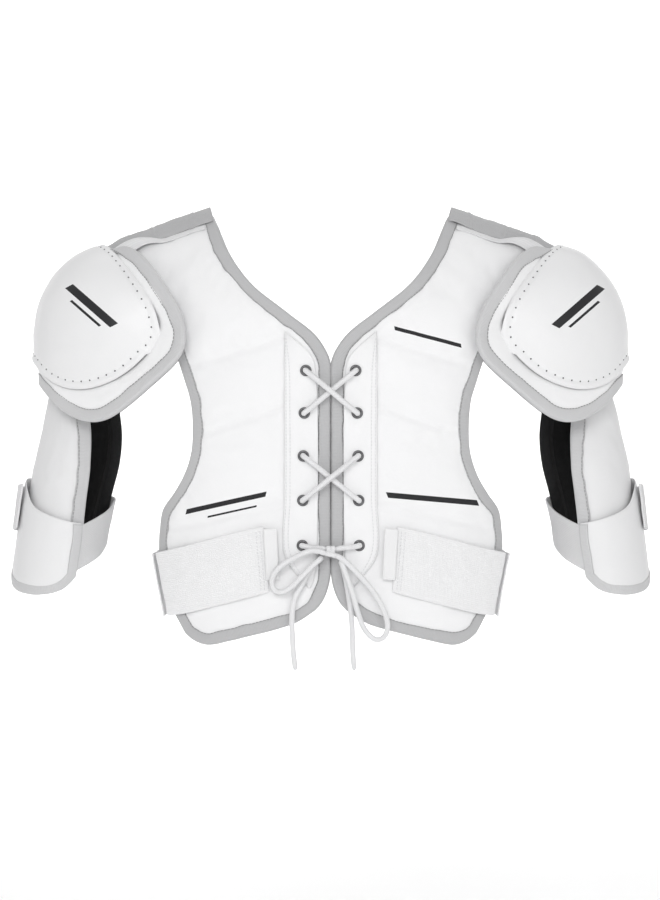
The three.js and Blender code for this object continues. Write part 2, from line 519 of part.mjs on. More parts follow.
// ---- arm guard ----------------------------------------------------------------------------------
// A point on the guard's outer surface, lifted off it, at an angle from the outer side and a height.
function armPoint(deg, z, lift = 0) {
  const out = table(ARM_Z, ARM_OUT, z), inn = table(ARM_Z, ARM_IN, z), b = table(ARM_Z, ARM_HALF_DEPTH, z);
  const a = (inn - out) / (1 - Math.cos(rad(ARM_REAR))), cx = out + a;
  const q = rad(deg), n = [-Math.cos(q) / a, -Math.sin(q) / b], l = Math.hypot(...n);
  const x = cx - a * Math.cos(q) + (lift * n[0]) / l, y = -b * Math.sin(q) + (lift * n[1]) / l;
  return onto(x, z, y);
}
const armGrid = (angles, zs, lift) => {
  const P = zs.map((z, r) => angles.map((d, c) => armPoint(d, typeof z === "function" ? z(c) : z, lift)));
  return withNormals(P, V(-1, 0, 0));
};
const arm = armGrid(ARM_ANGLES, ARM_Z, 0);
pair("arm_pad", layer(arm, 0, -ARM_FOAM), WHITE);
{
  const inner = armGrid([94, 80, 57, 32, 8, -16, -40, -65, -90, -115, -135, -147],
  [ARM_Z[0] - 2, ...ARM_Z.slice(1, -1), ARM_Z[ARM_Z.length - 1] + 2], 0);
  pair("arm_liner", layer(inner, -ARM_FOAM - GAP, -ARM_FOAM - GAP - LINER), BLACK);
}
{
  // stations down the front edge, along the bottom and up the rear edge
  const st = [], R = arm.P.length, C = arm.P[0].length;
  const insetAt = (r, c) => {
    const p = arm.P[r][c], q = arm.P[Math.min(R - 2, r)][Math.min(C - 2, Math.max(1, c))];
    return p.clone().lerp(q, BIND / p.distanceTo(q));
  };
  const put = (r, c) => st.push([arm.P[r][c], arm.N[r][c], insetAt(r, c), arm.N[r][c]]);
  for (let r = 0; r < R - 1; r++) put(r, 0);
  for (let c = 0; c < C; c++) put(R - 1, c);
  for (let r = R - 2; r >= 0; r--) put(r, C - 1);
  pair("arm_binding", binding(st, GAP, -ARM_FOAM - 2 * GAP - LINER), GREY);
}
// Lobe over the lower outer side, longer than the guard itself.
const LOBE_LIFT = 2 * (GAP + TAPE) - 0.1;
const lobe = withNormals([0, 0.18, 0.38, 0.58, 0.8, 1].map((t) => LOBE_ANGLES.map((d, c) =>
  armPoint(d, lerp(LOBE_TOP[c], LOBE_BOTTOM[c], t), LOBE_LIFT + LOBE))), V(-1, 0, 0));
pair("arm_lobe", layer(lobe, 0, -LOBE), WHITE);
{
  const st = [], R = lobe.P.length, C = lobe.P[0].length;
  const put = (r, c) => {
    const p = lobe.P[r][c], q = lobe.P[Math.min(R - 2, r)][Math.min(C - 2, Math.max(1, c))];
    st.push([p, lobe.N[r][c], p.clone().lerp(q, (BIND - 1) / p.distanceTo(q)), lobe.N[r][c]]);
  };
  for (let r = 1; r < R - 1; r++) put(r, 0);
  for (let c = 0; c < C; c++) put(R - 1, c);
  for (let r = R - 2; r > 1; r--) put(r, C - 1);
  pair("arm_lobe_binding", binding(st, 0.4, -LOBE - 0.4), GREY);
}
// Elastic strap: from the lobe's outer face round the rear and across the open inner side.
{
  const lift = LOBE_LIFT + LOBE + 0.4 + TAPE + 1.4;
  const angles = [6, -14, -36, -60, -86, -112, -136, -152];
  const high = [-220.5, -222.2, -224, -225.8, -227.5, -229.2, -231, -232.8], low = [-259, -259.9, -260.8, -262.5, -264.2, -266, -267.8, -270.4];
    const P = angles.map((d, i) => [0, 0.5, 1].map((k) => armPoint(d, lerp(high[i], low[i], k), lift)));
  // straight across the inner side to the front edge
  const start = P[P.length - 1], end = [0, 0.5, 1].map((k) => armPoint(104, lerp(-255.5, -294, k), 1));
  for (let i = 1; i <= 4; i++) P.push([0, 1, 2].map((k) => {
    const p = start[k].clone().lerp(end[k], i / 4);
    p.x += Math.sin((Math.PI * i) / 4) * 7;
    return p;
  }));
  const g = withNormals(P, V(0, 0, 0));
  if (g.N[0][1].x > 0) g.N.forEach((r) => r.forEach((n) => n.negate()));
  pair("arm_strap", layer(g, STRAP, 0), ELASTIC);
}
// Curved webbing tab that hangs the guard inside the cap.
{
  const g = armGrid(HANGER_ANGLES, [-122.5, -134.8, -147], -ARM_FOAM - GAP - LINER - 3);
  pair("arm_hanger", layer(g, 0, -1.8), ELASTIC);
}

// ---- eyelets and lace ---------------------------------------------------------------------------
const FLANGE = FACING_LIFT + FACING + 0.4;
EYELETS.forEach((_, i) => {
  const profile = [[EYELET_HOLE_R, -7.2], [BARREL_R, -7.2], [BARREL_R, FLANGE], [EYELET_R, FLANGE],
  [EYELET_R - 0.6, FLANGE + 1], [EYELET_HOLE_R, FLANGE + 1]];
  pair("eyelet_" + (i + 1), ring(profile, eyeletAt[i], eyeletAxis[i], 10), METAL);
});
// A cord along points, on a centripetal curve.
function cord(points, steps, sides = 8) {
  const curve = new THREE.CatmullRomCurve3(points, false, "centripetal");
  const shape = new THREE.Shape();
  for (let i = 0; i < sides; i++) {
    const a = (2 * Math.PI * i) / sides;
    i ? shape.lineTo(LACE_R * Math.cos(a), LACE_R * Math.sin(a)) : shape.moveTo(LACE_R, 0);
  }
  shape.closePath();
  const g = new THREE.ExtrudeGeometry(shape, { steps, bevelEnabled: false, extrudePath: curve });
  g.deleteAttribute("normal");
  g.deleteAttribute("uv");
  return closed([...g.attributes.position.array]);
}
const lift = (p, n, d) => p.clone().addScaledVector(n, d);
const side = (v, s) => V(v.x * s, v.y, v.z);
const onChest = (X, Z, d) => lift(torso(X, Z), torsoNormal(X, Z), d);
const hole = (i, s, d) => side(lift(eyeletAt[i], eyeletAxis[i], d), s);
const FRONT_LIFT = FLANGE + 4.6, REAR_LIFT = -11.5;
// A crossing from eyelet a (side s) to eyelet b (the other side), low or high at the middle.
function crossing(a, s, b, high) {
  const h = FRONT_LIFT + (high ? 4.6 : 0);
  const za = EYELETS[a][1], zb = EYELETS[b][1], zm = (za + zb) / 2;
  const pt = (f, d) => {
    const X = lerp(EYELETS[a][0], -EYELETS[b][0], f);
    const q = onChest(-Math.abs(X), lerp(za, zb, f), d);
    return V(X * s, q.y, q.z);
  };
  return [pt(0.12, FLANGE + 5.2), pt(0.3, lerp(FRONT_LIFT, h, 0.6)), pt(0.5, h), pt(0.7, lerp(FRONT_LIFT, h, 0.6)), pt(0.88, FLANGE + 5.2)];
}
const through = (i, s, down) => { const l = [hole(i, s, FLANGE + 3.4), hole(i, s, 0), hole(i, s, -8.6)]; return down ? l : l.reverse(); };
const behind = (a, b, s) => [0.14, 0.5, 0.86].map((f) => {
  const p = eyeletAt[a].clone().lerp(eyeletAt[b], f), n = eyeletAxis[a].clone().lerp(eyeletAxis[b], f).normalize();
  return side(lift(p, n, REAR_LIFT), s);
});
const KNOT = [[0, -280]][0];
const knot = onChest(KNOT[0], KNOT[1], FRONT_LIFT + 3);
const toKnot = (s) => [side(onChest(EYELETS[4][0] + 7, EYELETS[4][1] - 1.5, FLANGE + 4.6), s), V(s * (knot.x - 8), knot.y + 2.2, knot.z + 3.4), V(s * (knot.x - 3.2), knot.y + 1, knot.z + 2.4)];
const run = [
  ...toKnot(1).reverse(), ...through(4, 1, true), ...behind(4, 3, 1), ...through(3, 1, false),
  ...crossing(3, 1, 2, true), ...through(2, -1, true), ...behind(2, 1, -1), ...through(1, -1, false),
  ...crossing(1, -1, 0, true), ...through(0, 1, true),
  side(lift(eyeletAt[0], eyeletAxis[0], REAR_LIFT - 1), 1).add(V(8, 0, 0)), V(0, eyeletAt[0].y - REAR_LIFT + 3.5, eyeletAt[0].z),
  side(lift(eyeletAt[0], eyeletAxis[0], REAR_LIFT - 1), -1).add(V(-8, 0, 0)),
  ...through(0, -1, false), ...crossing(0, -1, 1, false), ...through(1, 1, true), ...behind(1, 2, 1), ...through(2, 1, false),
  ...crossing(2, 1, 3, false), ...through(3, -1, true), ...behind(3, 4, -1), ...through(4, -1, false), ...toKnot(-1),
];
add("front_lace", cord(run, 118), CORD);
// Bow: a loop and a tail on each side, [x, z, lift off the chest].
const bow = (list, s) => list.map(([X, Z, d]) => { const q = onChest(X, Z, d); return V(s * q.x, q.y, q.z); });
const BOW_RIGHT = [[-2.8, -281.8, 12], [-9.4, -279.1, 13.5], [-17.3, -278.7, 13], [-30.4, -284.4, 12.5],
  [-41.8, -291.4, 11.5], [-48.3, -299.2, 10.5], [-50.1, -307.1, 10], [-47, -313.7, 10], [-40.9, -314.6, 10.5],
  [-33.9, -310.6, 11.5], [-25.2, -301.9, 12.5], [-16.4, -292.2, 12.5], [-9.4, -286.1, 10.5], [-6.8, -286.1, 7.5],
  [-9.8, -291.4, 5.8], [-17.3, -299.2, 5.6], [-25.2, -308.9, 5.4], [-30, -317.6, 5.2], [-32.6, -327.2, 5.2],
  [-33.5, -339.5, 5.6], [-33, -353.5, 6.6], [-32.2, -367.5, 6.5], [-30.4, -383.2, 6.5]];
const BOW_LEFT = [[-2.8, -281.8, 12], [-10.3, -286.1, 13.5], [-23.4, -299.2, 13], [-37, -315.9, 12],
  [-45.7, -332.5, 11], [-48.3, -345.6, 10.5], [-44.8, -354.4, 10.5], [-38.3, -356.1, 10.5], [-29.5, -348.2, 11.5],
  [-23.8, -335.1, 12.5], [-18.2, -315, 13], [-12.5, -299.2, 12.5], [-7.7, -290.5, 10], [-7.2, -290.5, 6.6],
  [-9.4, -298.4, 5.8], [-14.7, -316.8, 5.6], [-17.7, -336.9, 5.6], [-18.6, -351.8, 7], [-19, -367.5, 7],
  [-20.3, -383.2, 7]];
add("lace_bow_right", cord(bow(BOW_RIGHT, 1), 46), CORD);
add("lace_bow_left", cord(bow(BOW_LEFT, -1), 46), CORD);

export default group;
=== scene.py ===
"""Hockey shoulder pads: the visual model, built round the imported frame.

Lengths are in millimetres until a mesh is made. +Z is up, the wearer faces -Y, +X is the wearer's left.
Outlines are drawn for the -X side in the plane y = DRAWN_Y; onto() carries a drawn point to its own depth.
"""

import json
import math

import bpy
import numpy as np
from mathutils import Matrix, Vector

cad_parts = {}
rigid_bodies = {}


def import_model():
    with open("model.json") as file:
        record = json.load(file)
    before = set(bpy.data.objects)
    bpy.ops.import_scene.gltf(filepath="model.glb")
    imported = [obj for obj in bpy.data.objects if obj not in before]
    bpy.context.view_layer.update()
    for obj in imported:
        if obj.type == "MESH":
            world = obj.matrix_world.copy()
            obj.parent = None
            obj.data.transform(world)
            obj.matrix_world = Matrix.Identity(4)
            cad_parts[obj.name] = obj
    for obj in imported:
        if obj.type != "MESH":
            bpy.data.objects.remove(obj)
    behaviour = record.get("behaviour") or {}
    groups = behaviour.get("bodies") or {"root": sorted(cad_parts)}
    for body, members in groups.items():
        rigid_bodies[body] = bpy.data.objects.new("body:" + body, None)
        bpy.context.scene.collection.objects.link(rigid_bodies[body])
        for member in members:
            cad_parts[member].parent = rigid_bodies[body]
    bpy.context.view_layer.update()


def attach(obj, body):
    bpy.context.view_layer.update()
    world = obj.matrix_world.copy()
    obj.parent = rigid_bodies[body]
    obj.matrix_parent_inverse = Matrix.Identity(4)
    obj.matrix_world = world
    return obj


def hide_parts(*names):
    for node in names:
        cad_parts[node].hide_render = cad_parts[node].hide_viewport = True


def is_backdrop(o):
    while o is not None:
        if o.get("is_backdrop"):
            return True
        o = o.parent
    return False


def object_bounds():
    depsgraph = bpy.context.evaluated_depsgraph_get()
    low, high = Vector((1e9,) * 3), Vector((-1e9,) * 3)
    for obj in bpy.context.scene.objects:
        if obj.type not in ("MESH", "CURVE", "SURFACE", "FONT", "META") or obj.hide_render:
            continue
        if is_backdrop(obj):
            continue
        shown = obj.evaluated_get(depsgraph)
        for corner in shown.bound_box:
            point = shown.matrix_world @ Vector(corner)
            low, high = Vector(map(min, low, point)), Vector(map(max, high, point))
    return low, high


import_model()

# ---- the frame's own dimensions, as in the CAD -----------------------------------------------------
DRAWN_Y, EYE_DISTANCE, EYE_Z = -100.0, 3500.0, -190.75
CHEST_DEPTH, RIDGE_X, RIDGE_Z, RIDGE_SLOPE, RIDGE_ROUND = 99.0, 110.0, 24.0, 0.344, 150.0
HALF_WIDTH_TOP, HALF_WIDTH_LOW = 232.0, 176.0
GAP, COVER, PAD_EDGE, PAD_CORE, TAPE, FACING, STRAP = 0.7, 2.0, 4.0, 11.0, 1.3, 1.4, 2.2
EYELET_R, EYELET_HOLE_R, BARREL_R, LACE_R = 5.0, 2.8, 3.4, 2.0
SHELL, FLAP, CAP_FOAM, ARM_FOAM, LINER, LOBE = 2.6, 5.0, 8.0, 7.0, 1.2, 3.0
CAP_DEPTH = 80.0

PANEL_OUTER = [(-184.4, -8.8), (-175.7, -23.6), (-163.4, -47.2), (-151.2, -70.9), (-139.8, -94.5), (-132.3, -112.9),
    (-126.7, -130.4), (-121.4, -148.8), (-119.7, -176.8), (-121.4, -195.1), (-127.5, -213.5), (-136.3, -229.2),
    (-145.9, -243.2), (-148.5, -258.1), (-149.4, -280), (-145.9, -304.5), (-139.8, -324.6), (-133.7, -336.9),
    (-126.7, -350)]
PANEL_INNER = [(-108.7, 20.1), (-105.7, 15.8), (-92.5, -15.8), (-72.4, -44.6), (-39.2, -71.8), (-16.4, -90.1),
    (-6.8, -103.2), (-2.4, -114.6), (-2.4, -147), (-2.4, -217), (-2.4, -287), (-2.4, -300.1), (-4.6, -311.5),
    (-9.4, -322.9), (-15.5, -329.9)]
PANEL_HEM = [(-126.7, -350), (-119.7, -355.7), (-109.2, -359.2), (-90.8, -356.1), (-70.7, -351.3), (-49.7, -346.1),
    (-31.3, -339.9), (-15.5, -329.9)]
FACING_OUTER = [(-40, -86.6), (-40, -129.5), (-40, -182), (-40, -234.5), (-40, -282.6), (-19, -311.5)]
FACING_INNER = [(-38.3, -88.4), (-25.2, -99.8), (-16.4, -110.2), (-13.3, -124.2), (-12.9, -287), (-15.5, -307.1)]
EYELETS = [(-21.7, -121.2), (-23, -158.4), (-23.8, -196), (-24.3, -234.9), (-24.7, -274.3)]
QUILT = [[(-149.4, -126.9), (-123.2, -118.1), (-83.8, -105.9), (-44.4, -93.6), (-26.9, -88.4)], [(-131.9, -182.9),
    (-111.8, -176.8), (-77.7, -165.4), (-43.5, -154), (-26.9, -148.8)],
         [(-158.2, -264.2), (-139.8, -259), (-90.8, -248.9), (-41.8, -238.9), (-26.9, -235.4)]]
CAP_TOP = [(-196.7, -11.4), (-188.8, -16.6), (-177.4, -30.6), (-166, -46.4), (-157.3, -60.4), (-152, -73.5),
    (-150.7, -83.1)]
CAP_LOW = [(-261.4, -112.9), (-252.7, -124.2), (-238.7, -133.9), (-217.7, -137.4), (-194.9, -131.2),
    (-176.5, -121.6), (-162.5, -106.8)]
CAP_SILHOUETTE = [(-196.7, -11.4), (-202.8, -11.4), (-219.4, -18.4), (-236, -32.4), (-247.4, -47.2),
    (-255.3, -65.6), (-258.8, -84), (-260.5, -102.4), (-261.4, -112.9)]
CAP_BULGE = [(-247.4, -47.2), (-152.5, -97.6)]
FLAP_EDGE = [(-189.7, -16.2, 0), (-188.3, -15.3, -14), (-183.5, -13.1, -27), (-177.8, -13.6, -39),
    (-169.5, -19.7, -52.5), (-160.3, -29.3, -65), (-148.5, -46.4, -77), (-137.2, -63.9, -86), (-131.5, -78.8, -91),
    (-129.7, -93.6, -94), (-133.2, -105.9, -95), (-144.2, -117.7, -94), (-162.5, -133.9, -91), (-180, -149.6, -84),
    (-199.3, -162.8, -75), (-215.9, -164.1, -63), (-233.4, -156.6, -49), (-249.2, -141.8, -31),
    (-256.2, -131.2, -17), (-258.8, -126.4, -6), (-259, -126, 0)]
ARM_Z = [-136.5, -155.8, -178.5, -203, -227.5, -250.2, -270.4]
ARM_OUT = [-243.9, -248.7, -253.5, -259.2, -262.7, -265.8, -268.4]
ARM_IN = [-187.9, -185.3, -183.1, -185.3, -191.4, -196.7, -200.2]
ARM_HALF_DEPTH = [25, 30, 38, 43, 45, 45, 44]
ARM_FRONT, ARM_REAR = 97.0, -150.0
LOBE_ANGLES = [95, 80, 60, 38, 14, -12, -38, -62]
LOBE_TOP = [-255.5, -253.8, -248.5, -239.8, -224, -216.1, -217, -220.5]
LOBE_BOTTOM = [-298.4, -311.5, -315.9, -314.1, -308, -299.2, -288.8, -276.5]

rng = np.random.default_rng(7)


# ---- curves and fields ------------------------------------------------------------------------------
def arr(line):
    return np.array(line, float)


def arclen(P):
    return np.concatenate([[0], np.cumsum(np.linalg.norm(np.diff(P, axis=0), axis=1))])


def along(line, t):
    """Points t (0 to 1, by length) along a polyline."""
    P = arr(line)
    d = arclen(P)
    s = np.clip(np.asarray(t, float), 0, 1) * d[-1]
    return np.stack([np.interp(s, d, P[:, k]) for k in range(P.shape[1])], -1)


def curve(line, n=400, closed=False):
    """The smooth curve through a polyline's points, as n evenly spaced points."""
    P = arr(line)
    if closed:
        P = np.vstack([P[-2], P, P[1], P[2]]) if np.allclose(P[0], P[-1]) else np.vstack([P[-1], P, P[0], P[1]])
    else:
        P = np.vstack([2 * P[0] - P[1], P, 2 * P[-1] - P[-2]])
    out = []
    for i in range(1, len(P) - 2):
        p0, p1, p2, p3 = P[i - 1], P[i], P[i + 1], P[i + 2]
        t0 = 0.0
        t1 = t0 + max(1e-6, np.linalg.norm(p1 - p0)) ** 0.5
        t2 = t1 + max(1e-6, np.linalg.norm(p2 - p1)) ** 0.5
        t3 = t2 + max(1e-6, np.linalg.norm(p3 - p2)) ** 0.5
        t = np.linspace(t1, t2, 24, endpoint=False)[:, None]
        a1 = (t1 - t) / (t1 - t0) * p0 + (t - t0) / (t1 - t0) * p1
        a2 = (t2 - t) / (t2 - t1) * p1 + (t - t1) / (t2 - t1) * p2
        a3 = (t3 - t) / (t3 - t2) * p2 + (t - t2) / (t3 - t2) * p3
        b1 = (t2 - t) / (t2 - t0) * a1 + (t - t0) / (t2 - t0) * a2
        b2 = (t3 - t) / (t3 - t1) * a2 + (t - t1) / (t3 - t1) * a3
        out.append((t2 - t) / (t2 - t1) * b1 + (t - t1) / (t2 - t1) * b2)
    out.append(P[-2][None, :])
    return along(np.vstack(out), np.linspace(0, 1, n))


def smooth01(t):
    t = np.clip(t, 0, 1)
    return t * t * (3 - 2 * t)


def unit(v):
    return v / np.maximum(1e-9, np.linalg.norm(v, axis=-1, keepdims=True))


def resample(P, step, *more):
    """P and the lists that go with it, at even steps along P."""
    d = arclen(P)
    n = max(2, int(round(d[-1] / step)) + 1)
    s = np.linspace(0, d[-1], n)
    return [np.stack([np.interp(s, d, Q[:, k]) for k in range(Q.shape[1])], -1) for Q in (P, *more)]


def soften(P, times, closed=False):
    """Averages each row with its neighbours."""
    P = P.copy()
    for _ in range(times):
        if closed:
            P = (np.roll(P, 1, 0) + 2 * P + np.roll(P, -1, 0)) / 4
        else:
            Q = P.copy()
            Q[1:-1] = (P[:-2] + 2 * P[1:-1] + P[2:]) / 4
            P = Q
    return P


class Noise:
    """A smooth random field: a fixed sum of waves in three directions."""

    def __init__(self, seed, wavelength, octaves=3, waves=9):
        g = np.random.default_rng(seed)
        self.k, self.p, self.a = [], [], []
        for o in range(octaves):
            for _ in range(waves):
                d = g.normal(size=3)
                d /= np.linalg.norm(d)
                self.k.append(d * 2 * math.pi / (wavelength / 2**o * g.uniform(0.8, 1.35)))
                self.p.append(g.uniform(0, 2 * math.pi))
                self.a.append(0.55**o)
        self.k, self.p, self.a = np.array(self.k), np.array(self.p), np.array(self.a)
        self.a /= math.sqrt(float((self.a**2).sum()) / 2)

    def __call__(self, P):
        P = np.asarray(P, float)
        if P.shape[-1] == 2:
            P = np.concatenate([P, np.zeros(P.shape[:-1] + (1,))], -1)
        out = np.zeros(P.shape[:-1])
        for k, p, a in zip(self.k, self.p, self.a):
            out += a * np.sin(P @ k + p)
        return out


def line_distance(P, line):
    """Distance in the plane from points (…, 2) to a polyline, and the length along it."""
    L = arr(line)
    best, where, run = np.full(P.shape[:-1], 1e9), np.zeros(P.shape[:-1]), 0.0
    for a, b in zip(L[:-1], L[1:]):
        d = b - a
        n = np.linalg.norm(d)
        t = np.clip(((P - a) @ d) / (n * n), 0, 1)
        q = np.linalg.norm(P - (a + t[..., None] * d), axis=-1)
        closer = q < best
        best = np.where(closer, q, best)
        where = np.where(closer, run + t * n, where)
        run += n
    return best, where


def polygon_inside(P, poly):
    """Whether points (…, 2) are inside a polygon."""
    x, z = P[..., 0], P[..., 1]
    inside = np.zeros(x.shape, bool)
    L = arr(poly)
    for a, b in zip(L, np.roll(L, -1, 0)):
        cross = (a[1] > z) != (b[1] > z)
        with np.errstate(divide="ignore", invalid="ignore"):
            xi = a[0] + (z - a[1]) / (b[1] - a[1]) * (b[0] - a[0])
        inside ^= cross & (x < xi)
    return inside


# ---- the torso's surface ----------------------------------------------------------------------------
def onto(X, Z, y):
    s = 1 + (y - DRAWN_Y) / EYE_DISTANCE
    return np.stack([X * s, y + 0 * X, EYE_Z + (Z - EYE_Z) * s], -1)


def ridge(ax):
    return RIDGE_Z - RIDGE_SLOPE * (ax - RIDGE_X)


def torso_y(x, z):
    ax = np.abs(x)
    t = np.minimum(1, np.maximum(0, ridge(ax) - z) / RIDGE_ROUND)
    roll = (1 - (1 - t) ** 2) ** 0.62
    half = HALF_WIDTH_TOP + (HALF_WIDTH_LOW - HALF_WIDTH_TOP) * smooth01((-z - 10) / 150)
    depth = CHEST_DEPTH * np.maximum(0.05, 1 - (ax / half) ** 2.2) ** (1 / 2.2)
    return -(0.8 + depth * roll)


def ridge_drawn(X):
    s = 1 + (-0.8 - DRAWN_Y) / EYE_DISTANCE
    return EYE_Z + (ridge(np.abs(X) * s) - EYE_Z) / s


def torso(X, Z):
    X, Z = np.broadcast_arrays(np.asarray(X, float), np.asarray(Z, float))
    y = np.full(X.shape, -70.0)
    for _ in range(16):
        p = onto(X, Z, y)
        y = y + 0.8 * (torso_y(p[..., 0], p[..., 2]) - y)
    return onto(X, Z, y)


def torso_normal(X, Z):
    X, Z = np.broadcast_arrays(np.asarray(X, float), np.asarray(Z, float))
    a = torso(X + 2, Z) - torso(X - 2, Z)
    b = torso(X, Z - 2) - torso(X, Z - 6)
    n = unit(np.cross(b, a))
    return np.where(n[..., 1:2] > 0, -n, n)


def grid_normals(P, out):
    a = np.gradient(P, axis=1)
    b = np.gradient(P, axis=0)
    n = unit(np.cross(a, b))
    m = n[n.shape[0] // 2, n.shape[1] // 2]
    return -n if m @ np.array(out, float) < 0 else n


# ---- meshes -----------------------------------------------------------------------------------------
def make_mesh(name, verts, faces, weave=None, extra=None, smooth=True):
    """A mesh object from points in millimetres. weave is the pattern coordinate of each point, in millimetres."""
    me = bpy.data.meshes.new(name)
    me.from_pydata((np.asarray(verts, float) * 0.001).tolist(), [], faces)
    me.validate()
    me.update()
    if smooth:
        me.polygons.foreach_set("use_smooth", [True] * len(me.polygons))
    for key, data in dict(weave=weave, **(extra or {})).items():
        if data is not None:
            a = me.attributes.new(key, "FLOAT_VECTOR", "POINT")
            d = np.asarray(data, np.float32)
            if d.shape[-1] == 2:
                d = np.concatenate([d, np.zeros((len(d), 1), np.float32)], -1)
            a.data.foreach_set("vector", d.ravel())
    ob = bpy.data.objects.new(name, me)
    bpy.context.scene.collection.objects.link(ob)
    return ob


def flip_out(verts, faces):
    """Faces turned outwards on a closed body."""
    V = np.asarray(verts, float)
    v = 0.0
    for f in faces:
        a = V[f[0]]
        for i in range(1, len(f) - 1):
            v += float(a @ np.cross(V[f[i]], V[f[i + 1]]))
    return faces if v > 0 else [tuple(reversed(f)) for f in faces]


def grid_faces(R, C, base=0, flip=False, wrap=False):
    r, c = np.meshgrid(np.arange(R - 1), np.arange(C if wrap else C - 1), indexing="ij")
    a, b = r * C + c, r * C + (c + 1) % C
    q = np.stack([a, b, b + C, a + C], -1).reshape(-1, 4) + base
    return (q[:, ::-1] if flip else q).tolist()


def slab(name, A, B, weave=None, rim=0, extra=None, bulge=0.8):
    """The closed body between two grids of the same shape. rim > 0 rounds its edge with that many rings."""
    R, C = A.shape[:2]
    V = [A.reshape(-1, 3), B.reshape(-1, 3)]
    F = grid_faces(R, C) + grid_faces(R, C, R * C, flip=True)
    loop = [(0, c) for c in range(C - 1)] + [(r, C - 1) for r in range(R - 1)]
    loop += [(R - 1, c) for c in range(C - 1, 0, -1)] + [(r, 0) for r in range(R - 1, 0, -1)]
    idx = np.array([r * C + c for r, c in loop])
    inner = np.array([min(max(r, 1), R - 2) * C + min(max(c, 1), C - 2) for r, c in loop])
    top, bottom = V[0][idx], V[1][idx]
    ring = [idx]
    W = [np.asarray(weave).reshape(-1, 2)] * 2 if weave is not None else None
    E = {k: [np.asarray(v).reshape(-1, np.asarray(v).shape[-1])] * 2 for k, v in (extra or {}).items()}
    if rim:
        away = unit((top - V[0][inner]) + (bottom - V[1][inner]))
        h = np.linalg.norm(top - bottom, axis=1)[:, None] / 2
        n = len(idx)
        for i in range(1, rim + 1):
            a = math.pi * i / (rim + 1)
            base = sum(len(v) for v in V)
            V.append((top + bottom) / 2 + (top - bottom) / 2 * math.cos(a) + away * h * math.sin(a) * bulge)
            ring.append(np.arange(base, base + n))
            if W is not None:
                W.append(W[0][idx])
            for k in E:
                E[k].append(E[k][0][idx])
    ring.append(idx + R * C)
    n = len(idx)
    for a, b in zip(ring[:-1], ring[1:]):
        for i in range(n):
            j = (i + 1) % n
            F.append([int(a[i]), int(b[i]), int(b[j]), int(a[j])])
    V = np.vstack(V)
    F = flip_out(V, F)
    return make_mesh(name, V, F, None if W is None else np.vstack(W), {k: np.vstack(v) for k, v in E.items()})


def sweep(name, S, weave=None, closed=False, round_ends=0.0):
    """The closed body swept by sections S (n, m, 3), each a closed ring of m points."""
    n, m = S.shape[:2]
    V = S.reshape(-1, 3)
    F = []
    for i in range(n if closed else n - 1):
        a, b = i * m, ((i + 1) % n) * m
        for k in range(m):
            j = (k + 1) % m
            F.append([a + k, a + j, b + j, b + k])
    W = None if weave is None else np.asarray(weave).reshape(-1, 2)
    if not closed:
        for s, out in ((0, S[0].mean(0) - S[1].mean(0)), (n - 1, S[-1].mean(0) - S[-2].mean(0))):
            c = S[s].mean(0) + unit(out) * round_ends
            V = np.vstack([V, c])
            if W is not None:
                W = np.vstack([W, W[s * m:(s + 1) * m].mean(0)])
            ci = len(V) - 1
            for k in range(m):
                j = (k + 1) % m
                F.append([s * m + j, s * m + k, ci] if s == 0 else [s * m + k, s * m + j, ci])
    F = flip_out(V, F)
    return make_mesh(name, V, F, W)


def along_frames(P, up):
    """Tangents and a frame that turns as little as it can along a path."""
    T = unit(np.gradient(P, axis=0))
    u = np.array(up, float)
    U = []
    for t in T:
        u = u - (u @ t) * t
        u = u / max(1e-9, np.linalg.norm(u))
        U.append(u)
    U = np.array(U)
    return T, U, np.cross(T, U)


def tube(name, P, radius, sides=20, braid=0.0, lay=7.0, ends=True, step=None):
    """A round cord along P. braid is the height of its plait, lay its length."""
    if step:
        P = resample(P, step)[0]
    T, U, W = along_frames(P, (0.1, -0.3, 1))
    s = arclen(P)[:, None]
    a = np.linspace(0, 2 * math.pi, sides, endpoint=False)[None, :]
    r = radius * np.ones((len(P), sides))
    if braid:
        r = r + braid * (np.maximum(np.sin(4 * a + 2 * math.pi * s / lay * 2), np.sin(4 * a - 2 * math.pi * s / lay * 2)) - 0.6)
    if ends:
        k = min(6, len(P) // 4)
        for i in range(k):
            f = math.sqrt(1 - (1 - (i + 0.35) / k) ** 2)
            r[i] *= f
            r[-1 - i] *= f
    S = P[:, None, :] + (np.cos(a) * r)[..., None] * U[:, None, :] + (np.sin(a) * r)[..., None] * W[:, None, :]
    weave = np.stack(np.broadcast_arrays(s, a * radius), -1)
    return sweep(name, S, weave)


